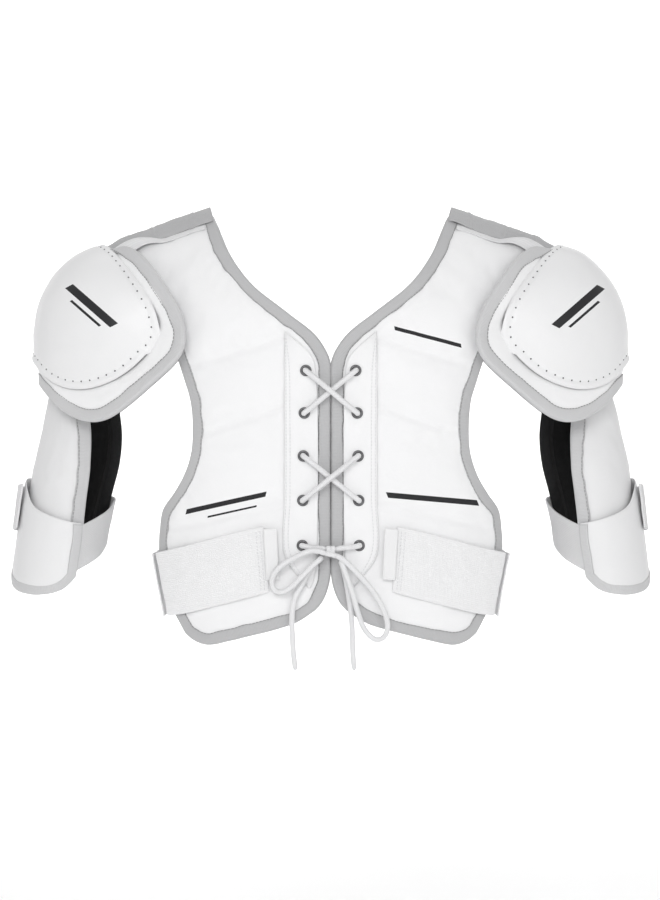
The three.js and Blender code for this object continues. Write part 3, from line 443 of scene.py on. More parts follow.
def capsule_run(name, segments, radius, normals, flat=0.7, sides=6):
    """Stitches: one small capsule per (start, end), all in one object."""
    V, F, W = [], [], []
    prof = [(0.0, 0.35), (0.12, 0.8), (0.3, 1.0), (0.7, 1.0), (0.88, 0.8), (1.0, 0.35)]
    for (a, b), n in zip(segments, normals):
        a, b, n = arr(a), arr(b), arr(n)
        t = unit(b - a)
        n = unit(n - (n @ t) * t)
        w = np.cross(t, n)
        base = len(V)
        for f, r in prof:
            c = a + (b - a) * f + n * radius * flat * (0.55 if f in (0.0, 1.0) else 1.0) * 0.5
            for k in range(sides):
                q = 2 * math.pi * k / sides
                V.append(c + n * math.cos(q) * radius * r * flat + w * math.sin(q) * radius * r)
                W.append((f * 3, k * 0.3))
        for i in range(len(prof) - 1):
            for k in range(sides):
                j = (k + 1) % sides
                F.append([base + i * sides + k, base + i * sides + j, base + (i + 1) * sides + j, base + (i + 1) * sides + k])
        F.append([base + k for k in range(sides)][::-1])
        F.append([base + (len(prof) - 1) * sides + k for k in range(sides)])
    V = np.array(V)
    one = flip_out(V[: len(prof) * sides], F[: (len(prof) - 1) * sides + 2])
    if one[0] != F[0]:
        F = [f[::-1] for f in F]
    return make_mesh(name, V, F, np.array(W))


def stitches(name, P, N, pitch=3.4, length=2.4, radius=0.33, lift=0.1):
    """A row of stitches along a path that lies on a surface with normals N."""
    Q, M = resample(P, 0.3, N)
    s = arclen(Q)
    M = unit(M)
    seg, nor = [], []
    d = pitch * 0.5
    while d + length < s[-1]:
        a = [np.interp(d, s, Q[:, k]) for k in range(3)]
        b = [np.interp(d + length, s, Q[:, k]) for k in range(3)]
        n = unit(np.array([np.interp(d + length / 2, s, M[:, k]) for k in range(3)]))
        seg.append((arr(a) + n * lift, arr(b) + n * lift))
        nor.append(n)
        d += pitch
    return capsule_run(name, seg, radius, nor)


def mirror(ob, name, axis=0):
    """A mirrored copy across x = 0 (axis 0) or y = 0 (axis 1)."""
    me = ob.data.copy()
    me.name = name
    co = np.zeros(len(me.vertices) * 3, np.float32)
    me.vertices.foreach_get("co", co)
    co[axis::3] *= -1
    me.vertices.foreach_set("co", co)
    me.flip_normals()
    me.update()
    new = bpy.data.objects.new(name, me)
    bpy.context.scene.collection.objects.link(new)
    return new


# ---- materials --------------------------------------------------------------------------------------
class Nodes:
    def __init__(self, name):
        self.mat = bpy.data.materials.new(name)
        self.mat.use_nodes = True
        self.t = self.mat.node_tree
        self.t.nodes.clear()
        self.out = self.t.nodes.new("ShaderNodeOutputMaterial")
        self.bsdf = self.t.nodes.new("ShaderNodeBsdfPrincipled")
        self.link(self.bsdf.outputs["BSDF"], self.out.inputs["Surface"])

    def link(self, a, b):
        self.t.links.new(a, b)

    def new(self, kind, **settings):
        n = self.t.nodes.new(kind)
        for k, v in settings.items():
            setattr(n, k, v)
        return n

    def put(self, socket, value):
        if isinstance(value, bpy.types.NodeSocket):
            self.link(value, socket)
        else:
            socket.default_value = value

    def math(self, op, a, b=None, c=None):
        n = self.new("ShaderNodeMath", operation=op)
        self.put(n.inputs[0], a)
        if b is not None:
            self.put(n.inputs[1], b)
        if c is not None:
            self.put(n.inputs[2], c)
        return n.outputs[0]

    def attribute(self, name="weave"):
        n = self.new("ShaderNodeAttribute", attribute_name=name)
        s = self.new("ShaderNodeSeparateXYZ")
        self.link(n.outputs["Vector"], s.inputs[0])
        return n.outputs["Vector"], s.outputs[0], s.outputs[1]

    def place(self, scale=1000.0):
        """The place on the object in millimetres, times scale / 1000."""
        n = self.new("ShaderNodeTexCoord")
        m = self.new("ShaderNodeVectorMath", operation="SCALE")
        self.link(n.outputs["Object"], m.inputs[0])
        m.inputs["Scale"].default_value = scale
        return m.outputs[0]

    def noise(self, vector, scale, detail=3.0, rough=0.55):
        n = self.new("ShaderNodeTexNoise")
        self.link(vector, n.inputs["Vector"])
        n.inputs["Scale"].default_value = scale
        n.inputs["Detail"].default_value = detail
        n.inputs["Roughness"].default_value = rough
        return n.outputs[0]

    def voronoi(self, vector, scale, feature="F1"):
        n = self.new("ShaderNodeTexVoronoi", feature=feature)
        self.link(vector, n.inputs["Vector"])
        n.inputs["Scale"].default_value = scale
        return n.outputs["Distance"]

    def ramp(self, value, stops):
        n = self.new("ShaderNodeValToRGB")
        self.link(value, n.inputs[0])
        e = n.color_ramp.elements
        while len(e) < len(stops):
            e.new(0.5)
        for el, (pos, col) in zip(e, stops):
            el.position = pos
            el.color = (*col, 1) if len(col) == 3 else col
        return n.outputs[0]

    def range(self, value, a, b, c, d):
        n = self.new("ShaderNodeMapRange")
        self.put(n.inputs[0], value)
        for i, v in enumerate((a, b, c, d)):
            n.inputs[i + 1].default_value = v
        return n.outputs[0]

    def mix(self, factor, a, b):
        n = self.new("ShaderNodeMix", data_type="RGBA")
        self.put(n.inputs[0], factor)
        for socket, v in ((n.inputs[6], a), (n.inputs[7], b)):
            if isinstance(v, bpy.types.NodeSocket):
                self.link(v, socket)
            else:
                socket.default_value = (*v, 1)
        return n.outputs[2]

    def bump(self, height, distance, strength=1.0, normal=None):
        n = self.new("ShaderNodeBump")
        n.inputs["Strength"].default_value = strength
        n.inputs["Distance"].default_value = distance
        self.link(height, n.inputs["Height"])
        if normal is not None:
            self.link(normal, n.inputs["Normal"])
        return n.outputs[0]

    def finish(self, color, rough, normal=None, **sockets):
        self.put(self.bsdf.inputs["Base Color"], color)
        self.put(self.bsdf.inputs["Roughness"], rough)
        if normal is not None:
            self.link(normal, self.bsdf.inputs["Normal"])
        for k, v in sockets.items():
            self.bsdf.inputs[k].default_value = v
        return self.mat


def bar_mask(m, u, v, centre, angle, half_length, half_width, slant=0.6):
    """1 inside a plain slanted bar in pattern coordinates."""
    c, s = math.cos(math.radians(angle)), math.sin(math.radians(angle))
    du, dv = m.math("SUBTRACT", u, centre[0]), m.math("SUBTRACT", v, centre[1])
    x = m.math("ADD", m.math("MULTIPLY", du, c), m.math("MULTIPLY", dv, s))
    y = m.math("ADD", m.math("MULTIPLY", du, -s), m.math("MULTIPLY", dv, c))
    x = m.math("SUBTRACT", x, m.math("MULTIPLY", y, slant))
    inx = m.math("LESS_THAN", m.math("ABSOLUTE", x), half_length)
    iny = m.math("LESS_THAN", m.math("ABSOLUTE", y), half_width)
    return m.math("MULTIPLY", inx, iny)


def cloth(name, color, dark, rough=0.7, kind="plain", period=1.1, height=0.00012, sheen=0.15, soil=0.35, bars=(), coords="weave", wrinkle=0.0):
    """Woven or knitted cloth. kind is plain, rib_u, rib_v, twill, knit or braid."""
    m = Nodes(name)
    vec, u, v = m.attribute(coords)
    place = m.place()
    k = 2 * math.pi / period
    su, sv = m.math("SINE", m.math("MULTIPLY", u, k)), m.math("SINE", m.math("MULTIPLY", v, k))
    if kind == "plain":
        h = m.math("ADD", m.math("MULTIPLY", su, sv), m.math("MULTIPLY", m.math("ADD", m.math("ABSOLUTE", su), m.math("ABSOLUTE", sv)), 0.35))
    elif kind == "rib_u":
        h = m.math("ADD", su, m.math("MULTIPLY", m.math("MULTIPLY", m.math("SINE", m.math("MULTIPLY", v, k * 0.8)), su), 0.35))
    elif kind == "rib_v":
        h = m.math("ADD", sv, m.math("MULTIPLY", m.math("MULTIPLY", m.math("SINE", m.math("MULTIPLY", u, k * 0.8)), sv), 0.35))
    elif kind == "twill":
        h = m.math("ADD", m.math("SINE", m.math("MULTIPLY", m.math("ADD", u, v), k)), m.math("MULTIPLY", m.math("SINE", m.math("MULTIPLY", m.math("SUBTRACT", u, v), k * 0.33)), 0.4))
    elif kind == "braid":
        h = m.math("MAXIMUM", m.math("SINE", m.math("MULTIPLY", m.math("ADD", u, v), k)), m.math("SINE", m.math("MULTIPLY", m.math("SUBTRACT", u, v), k)))
    else:
        h = m.math("ADD", m.math("MULTIPLY", su, sv), m.math("MULTIPLY", m.noise(place, 1.4, 2), 0.8))
    fuzz = m.noise(place, 2.2, 3, 0.7)
    total = m.math("ADD", m.math("MULTIPLY", h, 0.7), m.math("MULTIPLY", fuzz, 0.9))
    normal = m.bump(total, height, 0.8)
    if wrinkle:
        normal = m.bump(m.noise(place, 0.055, 4, 0.6), wrinkle, 1.0, normal)
    blotch = m.noise(place, 0.018, 4, 0.6)
    # besides the soil blotches, tone darkens the weave's low points: painted shade in the weave's hollows
    tone = m.math("ADD", m.math("MULTIPLY", blotch, soil), m.math("MULTIPLY", m.range(h, -1.4, 1.4, 1, 0), 0.3))
    tone = m.math("ADD", tone, m.math("MULTIPLY", m.noise(place, 0.8, 2, 0.7), 0.25))
    col = m.mix(m.range(tone, 0.2, 0.9, 0, 1), color, dark)
    for centre, angle, hl, hw, slant, ink in bars:
        col = m.mix(bar_mask(m, u, v, centre, angle, hl, hw, slant), col, ink)
    r = m.range(m.noise(place, 0.3, 3, 0.6), 0.3, 0.7, rough - 0.07, rough + 0.08)
    mat = m.finish(col, r, normal, **{"Sheen Weight": sheen, "Sheen Roughness": 0.5, "Specular IOR Level": 0.35})
    return mat


def skin(name, color, dark, rough=0.42, grain=1.3, height=0.00009, bars=(), coords="weave", soil=0.3, coat=0.0):
    """Smooth synthetic leather with a fine pebble grain."""
    m = Nodes(name)
    vec, u, v = m.attribute(coords)
    place = m.place()
    cell = m.voronoi(place, 1 / grain, "F1")
    fine = m.noise(place, 1.1, 4, 0.6)
    normal = m.bump(m.math("ADD", m.math("MULTIPLY", cell, -0.8), m.math("MULTIPLY", fine, 0.6)), height, 0.6)
    normal = m.bump(m.noise(place, 0.03, 3, 0.5), 0.0012, 0.35, normal)
    # blotch mixes random blotches with the grain's cell distance, so the grain's grooves come out darker: painted shade
    # in the grooves, scaled with the soil
    blotch = m.math("ADD", m.math("MULTIPLY", m.noise(place, 0.02, 4, 0.6), 0.8), m.math("MULTIPLY", cell, 0.22))
    col = m.mix(m.range(blotch, 0.35, 0.9, 0, soil), color, dark)
    for centre, angle, hl, hw, slant, ink in bars:
        col = m.mix(bar_mask(m, u, v, centre, angle, hl, hw, slant), col, ink)
    r = m.range(m.noise(place, 0.12, 4, 0.65), 0.3, 0.7, rough - 0.06, rough + 0.09)
    return m.finish(col, r, normal, **{"Specular IOR Level": 0.42, "Coat Weight": coat, "Coat Roughness": 0.35})


def metal(name, color, rough=0.32):
    m = Nodes(name)
    place = m.place()
    scratch = m.noise(place, 3.0, 4, 0.7)
    col = m.mix(m.range(m.noise(place, 0.9, 3, 0.6), 0.35, 0.7, 0, 1), color, tuple(c * 0.62 for c in color))
    return m.finish(col, m.range(scratch, 0.3, 0.7, rough - 0.08, rough + 0.14), m.bump(scratch, 0.00003, 0.5), **{"Metallic": 0.85})


def plain_backdrop():
    m = Nodes("pale_floor")
    place = m.place()
    col = m.mix(m.range(m.noise(place, 0.004, 2, 0.5), 0.3, 0.7, 0, 1), (0.95, 0.95, 0.95), (0.93, 0.93, 0.93))
    mat = m.finish(col, 0.9, None)
    for node in mat.node_tree.nodes:
        if node.type == "BSDF_PRINCIPLED":
            node.inputs["Emission Color"].default_value = (1, 1, 1, 1)
            node.inputs["Emission Strength"].default_value = 0.14
    return mat


INK = (0.012, 0.012, 0.014)


# ---- camera: 3.5 m in front of the drawing plane, level, centred on the vest ---------------------------
cam_data = bpy.data.cameras.new("camera")
cam = bpy.data.objects.new("camera", cam_data)
bpy.context.scene.collection.objects.link(cam)
cam.location = (-0.00066, (DRAWN_Y - EYE_DISTANCE) * 0.001, EYE_Z * 0.001)
cam.rotation_euler = (math.radians(90), 0, 0)
cam_data.sensor_fit = "VERTICAL"
cam_data.sensor_height = cam_data.sensor_width = 36.0
cam_data.lens = 36.0 * EYE_DISTANCE / (900 * 0.875)
cam_data.clip_end = 50
bpy.context.scene.camera = cam


# ---- lace: the crossed run and the bow, made first because they are measured --------------------------
FACING_LIFT = 1.1
FLANGE = FACING_LIFT + FACING + 0.4
eyelet_axis = torso_normal(arr(EYELETS)[:, 0], arr(EYELETS)[:, 1])
eyelet_at = torso(arr(EYELETS)[:, 0], arr(EYELETS)[:, 1])


def on_chest(X, Z, d):
    return torso(np.array(X, float), np.array(Z, float)) + torso_normal(np.array(X, float), np.array(Z, float)) * d


def flipx(p, s):
    return p * np.array([s, 1, 1])


FRONT_LIFT, REAR_LIFT = FLANGE + 4.6, -11.5


def hole(i, s, d):
    return flipx(eyelet_at[i] + eyelet_axis[i] * d, s)


def crossing(a, s, b, high):
    h = FRONT_LIFT + (5.1 if high else -0.1)
    za, zb = EYELETS[a][1], EYELETS[b][1]

    def pt(f, d):
        X = EYELETS[a][0] + (-EYELETS[b][0] - EYELETS[a][0]) * f
        q = on_chest(-abs(X), za + (zb - za) * f, d)
        return np.array([X * s, q[1], q[2]])

    mid = FRONT_LIFT + (h - FRONT_LIFT) * 0.6
    return [pt(0.12, FLANGE + 5.2), pt(0.3, mid), pt(0.5, h), pt(0.7, mid), pt(0.88, FLANGE + 5.2)]


def through(i, s, down):
    run = [hole(i, s, FLANGE + 3.4), hole(i, s, 0), hole(i, s, -8.6)]
    return run if down else run[::-1]


def behind(a, b, s):
    out = []
    for f in (0.14, 0.5, 0.86):
        p = eyelet_at[a] * (1 - f) + eyelet_at[b] * f
        n = unit(eyelet_axis[a] * (1 - f) + eyelet_axis[b] * f)
        out.append(flipx(p + n * REAR_LIFT, s))
    return out


KNOT = [(0, -280)][0]
knot = on_chest(KNOT[0], KNOT[1], FRONT_LIFT + 3)


def to_knot(s):
    return [flipx(on_chest(EYELETS[4][0] + 7, EYELETS[4][1] - 1.5, FLANGE + 4.6), s),
            np.array([s * (knot[0] - 8), knot[1] + 2.2, knot[2] + 3.4]),
            np.array([s * (knot[0] - 3.2), knot[1] + 1, knot[2] + 2.4])]


across = eyelet_at[0] + eyelet_axis[0] * (REAR_LIFT - 1)
lace_run = to_knot(1)[::-1] + through(4, 1, True) + behind(4, 3, 1) + through(3, 1, False) + crossing(3, 1, 2, True)
lace_run += through(2, -1, True) + behind(2, 1, -1) + through(1, -1, False) + crossing(1, -1, 0, True) + through(0, 1, True)
lace_run += [across + np.array([8, 0, 0]), np.array([0, eyelet_at[0][1] - REAR_LIFT + 3.5, eyelet_at[0][2]]), flipx(across, -1) + np.array([-8, 0, 0])]
lace_run += through(0, -1, False) + crossing(0, -1, 1, False) + through(1, 1, True) + behind(1, 2, 1) + through(2, 1, False)
lace_run += crossing(2, 1, 3, False) + through(3, -1, True) + behind(3, 4, -1) + through(4, -1, False) + to_knot(-1)
BOW_RIGHT = [(-2.8, -281.8, 12), (-9.4, -279.1, 13.5), (-17.3, -278.7, 13), (-30.4, -284.4, 12.5),
    (-41.8, -291.4, 11.5), (-48.3, -299.2, 10.5), (-50.1, -307.1, 10), (-47, -313.7, 10), (-40.9, -314.6, 10.5),
    (-33.9, -310.6, 11.5), (-25.2, -301.9, 12.6), (-16.4, -292.7, 12.9), (-11.2, -287.9, 12.9),
    (-9.8, -286.6, 12.4), (-8.8, -285.7, 11.03), (-8.4, -285.4, 9.15), (-8.8, -285.7, 7.28), (-9.8, -286.6, 5.9),
    (-11.2, -287.9, 5.4), (-17.3, -294.4, 5.4), (-25.2, -308.9, 5.4), (-30, -317.6, 5.2), (-32.6, -327.2, 5.2),
    (-33.5, -339.5, 5.6), (-33, -353.5, 6.6), (-32.2, -367.5, 6.5), (-30.4, -383.2, 6.5)]
BOW_LEFT = [(-2.8, -281.8, 12), (-10.3, -286.1, 13.5), (-23.4, -299.2, 13), (-37, -315.9, 12), (-45.7, -332.5, 11),
    (-48.3, -345.6, 10.5), (-44.8, -354.4, 10.5), (-38.3, -356.1, 10.5), (-29.5, -348.2, 11.5),
    (-23.8, -335.1, 12.5), (-18.2, -315, 13), (-13.1, -299.7, 13), (-10.3, -292.2, 12.9), (-9.6, -290.5, 12.4),
    (-9.1, -289.2, 11.03), (-8.9, -288.8, 9.15), (-9.1, -289.2, 7.28), (-9.6, -290.5, 5.9), (-10.3, -292.2, 5.4),
    (-14.5, -311.5, 5.4), (-17.7, -336.9, 5.6), (-18.6, -351.8, 7), (-19, -367.5, 7), (-20.3, -383.2, 7)]


def bow_path(line, s):
    return np.array([flipx(on_chest(X, Z, d), s) for X, Z, d in line])


SIDES = 20
CORD_R = 2.42
paths = {"front_lace": curve(np.array(lace_run), 1400), "lace_bow_right": curve(bow_path(BOW_RIGHT, 1), 620),
         "lace_bow_left": curve(bow_path(BOW_LEFT, -1), 620)}
for name, P in paths.items():
    P = resample(P, 0.9)[0]
    P = soften(P, 3)
    ob = tube(name + "_cord", P, CORD_R, SIDES, braid=0.09, lay=9.0)
    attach(ob, "vest")
    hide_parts(name)
    ob["look"] = "lace"

# the knot: one turn of lace round the crossing, with the two small nubs above it
turn = []
for q in np.linspace(-0.2 * math.pi, 2.05 * math.pi, 40):
    turn.append(knot + np.array([3.6 * math.cos(q), -1.6 + 3.4 * math.sin(q), -1.0 + 1.1 * math.sin(q * 0.5) * 2]))
ob = tube("lace_knot_turn", np.array(turn) + np.array([0, 1.2, -2.2]), CORD_R, SIDES, braid=0.09, lay=9.0)
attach(ob, "vest")
ob["look"] = "lace"
for i, s in enumerate((-1, 1)):
    q = knot + np.array([0, 0, 0])
    P = curve([q + (s * 0.6, 0.2, -3.5), q + (s * 1.6, -1.2, 1.0), q + (s * 2.4, -0.6, 5.6)], 26)
    ob = tube(f"lace_knot_nub_{i + 1}", P, CORD_R - 0.1, SIDES, braid=0.09, lay=9.0)
    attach(ob, "vest")
    ob["look"] = "lace"


# ---- vest panels ------------------------------------------------------------------------------------
OUTER, INNER, HEM = curve(PANEL_OUTER), curve(PANEL_INNER), curve(PANEL_HEM)
OUTER[0, 1], INNER[0, 1] = ridge_drawn(OUTER[0, 0]), ridge_drawn(INNER[0, 0])
panel_height = arclen(INNER)[-1]


def panel_xz(u, v):
    """The drawn point at the share u across and v down a panel."""
    L, Rr, B = along(OUTER, v), along(INNER, v), along(HEM, u)
    tx = OUTER[0, 0] + (INNER[0, 0] - OUTER[0, 0]) * u
    T = np.stack([tx, ridge_drawn(tx)], -1)
    u, v = u[..., None], v[..., None]
    l0, r0, l1, r1 = OUTER[0], INNER[0], HEM[0], HEM[-1]
    return (L * (1 - u) + Rr * u) + (T * (1 - v) + B * v) - ((l0 * (1 - u) + r0 * u) * (1 - v) + (l1 * (1 - u) + r1 * u) * v)


def panel_grid(nu, nv):
    u = np.linspace(0, 1, nu)
    v = np.concatenate([np.linspace(0, 0.03, 8)[:-1] ** 1.0, np.linspace(0.03, 1, nv - 7)])
    U, Vv = np.meshgrid(u, v)
    D = panel_xz(U, Vv)
    P = torso(D[..., 0], D[..., 1])
    q = onto(D[0, :, 0], D[0, :, 1], np.full(nu, -0.8))
    P[0] = np.stack([q[:, 0], np.full(nu, -0.8), ridge(np.abs(q[:, 0]))], -1)
    N = grid_normals(P, (0, -1, 0))
    N[0, :, 1] = 0
    N[0] = unit(N[0])
    for _ in range(3):
        N[1:-1] = unit(N[:-2] + 2 * N[1:-1] + N[2:])
    return D, P, N


NU, NV = ((52, 150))
panel_D, panel_P, panel_N = panel_grid(NU, NV)


def edge_distance(P):
    """Millimetres from each grid point to the panel's side and lower edges, and to its top."""
    R, C = P.shape[:2]
    best = np.full((R, C), 1e9)
    for E in (P[:, 0], P[:, -1], P[-1]):
        E = E[:: max(1, len(E) // 90)]
        best = np.minimum(best, np.sqrt(((P[:, :, None, :] - E[None, None]) ** 2).sum(-1)).min(-1))
    top = np.sqrt(((P[:, :, None, :] - P[0][None, None, ::3]) ** 2).sum(-1)).min(-1)
    return best, top


panel_edge, panel_top = edge_distance(panel_P)


def puff(d, reach=13.0):
    return 1 - np.exp(-np.maximum(0, d) / reach)


def quilting(D, P, lines, seed, width=2.6, depth=1.5, stop=None):
    """Depth of the sewn channels at each point, and how far the nearest one lies."""
    n = Noise(seed, 26, 2, 6)
    sink, near = np.zeros(D.shape[:2]), np.full(D.shape[:2], 1e9)
    for i, line in enumerate(lines):
        d, where = line_distance(D, curve(line, 60))
        pucker = 1 + 0.22 * np.sin(where * 1.15 + 2 * n(np.stack([where, where * 0 + i * 50], -1)))
        sink = np.maximum(sink, depth * pucker * np.exp(-(d / width) ** 2))
        near = np.minimum(near, d)
    if stop is not None:
        sink *= stop
    return sink, near


def relax(grid, pinned, steps=10):
    """A light smoothing of a height field that leaves the pinned points alone."""
    g = grid.copy()
    for _ in range(steps):
        h = g.copy()
        h[1:-1, 1:-1] = (g[1:-1, 1:-1] * 4 + g[:-2, 1:-1] + g[2:, 1:-1] + g[1:-1, :-2] + g[1:-1, 2:]) / 8
        g = np.where(pinned, g, h)
    return g


def cloth_heights(name, P, N, sink, near, free, seed):
    """Simulates the cover as cloth sewn down at its edges and channels, blown out a little by the foam behind it.
    Returns how far each point of the grid stands off the surface."""
    R, C = P.shape[:2]
    base = P + N * (-sink)[..., None]
    ob = make_mesh(name, base.reshape(-1, 3), grid_faces(R, C, flip=True))
    pin = ((near < 1.6) | ~free).astype(float).ravel()
    group = ob.vertex_groups.new(name="sewn")
    group.add([int(i) for i in np.where(pin > 0.5)[0]], 1.0, "REPLACE")
    mod = ob.modifiers.new("cloth", "CLOTH")
    s = mod.settings
    s.quality = 5
    s.mass = 0.25
    s.tension_stiffness = s.compression_stiffness = 18
    s.shear_stiffness = 6
    s.bending_stiffness = 0.12
    s.tension_damping = s.compression_damping = 12
    s.bending_damping = 0.6
    s.vertex_group_mass = "sewn"
    s.pin_stiffness = 1
    s.use_pressure = True
    s.uniform_pressure_force = 2.2
    s.shrink_min = -0.018
    s.effector_weights.gravity = 0
    mod.collision_settings.use_collision = False
    mod.collision_settings.use_self_collision = False
    mod.point_cache.frame_start, mod.point_cache.frame_end = 1, 24
    scene = bpy.context.scene
    for f in range(1, 21):
        scene.frame_set(f)
    dg = bpy.context.evaluated_depsgraph_get()
    me = ob.evaluated_get(dg).to_mesh()
    co = np.zeros(len(me.vertices) * 3)
    me.vertices.foreach_get("co", co)
    scene.frame_set(1)
    bpy.data.objects.remove(ob)
    moved = co.reshape(R, C, 3) * 1000
    h = ((moved - P) * N).sum(-1)
    if not np.isfinite(h).all():
        return None
    return h


def panel_heights(side, back):
    """How far a panel's cover stands off the surface, from the foam's crown, the channels and a cloth simulation."""
    seed = {("right", False): 3, ("left", False): 5, ("right", True): 11, ("left", True): 17}[(side, back)]
    D = panel_D
    facing = line_distance(D, [[(-40, -82.2)][0], [(-40, -284.4)][0], [(-16.4, -315)][0]])[0]
    on_facing = polygon_inside(D, [[(-40, -59.5)][0], [(-40, -284.4)][0], [(-16.4, -315)][0], [(3.7, -322)][0], [(3.7, -59.5)][0]])
    d = panel_edge
    if not back:
        d = np.minimum(d, facing + 8.0)
    sink, near = quilting(D, panel_P, QUILT, seed, stop=smooth01((panel_edge - 6) / 8) * (1.0 if back else np.where(on_facing, 0.0, 1.0)))
    if not back:
        sink = np.maximum(sink, 1.25 * np.exp(-(facing / 1.2) ** 2) * smooth01((panel_edge - 7) / 5))
    crown = 2.3 * puff(d - 8.5, 14) * puff(near, 13) * smooth01((panel_top - 12) / 30)
    if not back:
        crown = np.where(on_facing, 0.15 * crown, crown)
    wrinkle = Noise(seed, 46, 3, 8)(D) * 0.24 + Noise(seed + 40, 17, 2, 8)(D) * 0.09
    pull = np.sin(line_distance(D, curve(QUILT[1], 60))[1] * 0.55 + Noise(seed + 9, 60, 2)(D) * 2) * 0.16 * np.exp(-near / 9)
    h = -sink + crown * (1 + 0.12 * Noise(seed + 20, 70, 2)(D)) + (wrinkle + pull) * smooth01((d - 7) / 12) * smooth01((panel_top - 8) / 20)
    free = (panel_edge > 7.5) & (panel_top > 16) & ((~on_facing) | back)
    got = cloth_heights(f"cover_cloth_{seed}", panel_P, panel_N, sink, np.minimum(near, 1e9 if back else facing), free, seed)
    if got is not None:
        h = h * 0.55 + np.clip(got, -2.0, 3.0) * 0.5
    h = h - 0.9 * np.exp(-panel_edge / 2.6) - 0.45 * np.exp(-((panel_edge - 9.6) / 1.5) ** 2)
    return np.clip(h, -2.0, 2.6)


def flipped(P, back):
    return P * np.array([1, -1, 1]) if back else P


def sided(P, side):
    return P * np.array([-1, 1, 1]) if side == "left" else P


BODY = "vest"
panel_h = {}
for side in ("right", "left"):
    for back in (False, True):
        part = "back" if back else "chest"
        h = panel_heights(side, back)
        panel_h[side, part] = h
        sink, near = quilting(panel_D, panel_P, QUILT, 3)
        # the cover: its outer face, and an inner face 1.6 mm below it that meets it at the edge
        top = panel_P + panel_N * h[..., None]
        low = panel_P + panel_N * (h - 1.4 - 0.3 * puff(panel_edge, 3))[..., None]
        A, B = (sided(flipped(q, back), side) for q in (top, low))
        cover = slab(f"{side}_{part}_cover_cloth", A, B, weave=panel_D, rim=2, extra={"draw": panel_D})
        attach(cover, BODY)
        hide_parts(f"{side}_{part}_cover")
        cover["look"] = f"cover_{side}_{part}"
        # the foam with its liner: full in the middle, pinched at the sewn edge and along the channels
        thick = 4.0 + 7.0 * smooth01((panel_edge - 5) / 26) * smooth01((panel_top - 4) / 40)
        belly = thick - (1 - puff(near, 9)) * 2.8 * smooth01((panel_edge - 6) / 14)
        ripple = Noise(31 + back, 38, 3)(panel_D) * 0.35 * smooth01((panel_edge - 6) / 12)
        down = h - 1.4 - 0.3 - GAP
        A = sided(flipped(panel_P + panel_N * down[..., None], back), side)
        B = sided(flipped(panel_P + panel_N * (-(COVER + GAP) - belly - ripple)[..., None], back), side)
        pad = slab(f"{side}_{part}_pad_foam", A, B, weave=panel_D, rim=3)
        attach(pad, BODY)
        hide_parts(f"{side}_{part}_pad")
        pad["look"] = "liner"


# ---- folded binding tape ----------------------------------------------------------------------------
def bound_edge(name, E, N, inward, front, back, width=9.6, thick=1.15, reach=2.0, seed=1, wave=0.25, step=1.6, pinch=None, narrow=None, closed=False):
    """Tape folded round an edge. E and N are the edge's points and surface normals, inward points off the edge
    into the panel; front and back are how far the panel's faces lie from E along N."""
    E, N, inward, fb = resample(E, step, N, inward, np.stack([np.broadcast_to(front, len(E)), np.broadcast_to(back, len(E))], -1))
    N = unit(soften(N, 6))
    T = unit(np.gradient(E, axis=0))
    inward = inward - (inward * T).sum(1, keepdims=True) * T - (inward * N).sum(1, keepdims=True) * N
    inward = unit(soften(unit(inward), 5))
    s = arclen(E)
    n1, n2, n3 = Noise(seed, 60, 3), Noise(seed + 1, 22, 2), Noise(seed + 2, 9, 2)
    at = np.stack([s, s * 0 + seed * 31.0], -1)
    wf = width * (1 + 0.045 * n1(at) + 0.03 * n2(at))
    wb = width * (1 + 0.05 * n1(at + 77) + 0.03 * n2(at + 77))
    up = wave * (0.6 * n1(at + 9) + 0.45 * n2(at + 5) + 0.3 * n3(at))
    f, b = fb[:, 0] + 0.25 + 0.0 * s, fb[:, 1] - 0.25
    mid, half = (f + b) / 2, (f - b) / 2
    m_round = 9
    rings = []
    # outer face, from the front inner edge round to the back inner edge, then the inner face home again
    prof = []
    for k, q in enumerate((1.0, 0.93, 0.8, 0.6, 0.4, 0.2, 0.06)):
        lip = (0.0, 0.75, 1.0, 1.08, 1.12, 1.08, 1.0)[k]
        prof.append(("f", q, lip))
    for k in range(m_round):
        prof.append(("r", math.pi * (k + 0.5) / m_round, 1.0))
    for k, q in enumerate((0.06, 0.2, 0.4, 0.6, 0.8, 0.93, 1.0)):
        lip = (1.0, 1.08, 1.12, 1.08, 1.0, 0.75, 0.0)[k]
        prof.append(("b", q, lip))
    ring = []
    for kind, q, lip in prof:
        if kind == "f":
            ring.append(E + inward * (wf * q)[:, None] + N * (f + thick * lip * (1 + 0.12 * up) + up * 0.5 * math.sin(math.pi * q))[:, None])
        elif kind == "b":
            ring.append(E + inward * (wb * q)[:, None] + N * (b - thick * lip - up * 0.4 * math.sin(math.pi * q))[:, None])
        else:
            out = reach * (1 + 0.015 * n2(at + 33))
            ring.append(E - inward * (out * math.sin(q))[:, None] + N * (mid + (half + thick) * math.cos(q))[:, None])
    for kind, q in (("b", 0.97), ("b", 0.5), ("b", 0.05), ("r", 0.75), ("r", 0.25), ("f", 0.05), ("f", 0.5),
        ("f", 0.97)):
        if kind == "b":
            ring.append(E + inward * (wb * q)[:, None] + N * (b - (0.0 if q > 0.9 else 0.12))[:, None])
        elif kind == "f":
            ring.append(E + inward * (wf * q)[:, None] + N * (f + (0.0 if q > 0.9 else 0.12))[:, None])
        else:
            a = math.pi * q
            ring.append(E - inward * (max(0.5, reach - thick) * math.sin(a)) + N * (mid + half * math.cos(a))[:, None])
    S = np.stack(ring, 1)
    a = np.concatenate([[0], np.cumsum(np.linalg.norm(np.diff(S[len(S) // 2], axis=0), axis=1))])
    weave = np.stack(np.broadcast_arrays(s[:, None], a[None, :]), -1)
    return sweep(name, S, weave), (E, N, inward, wf, f, thick)
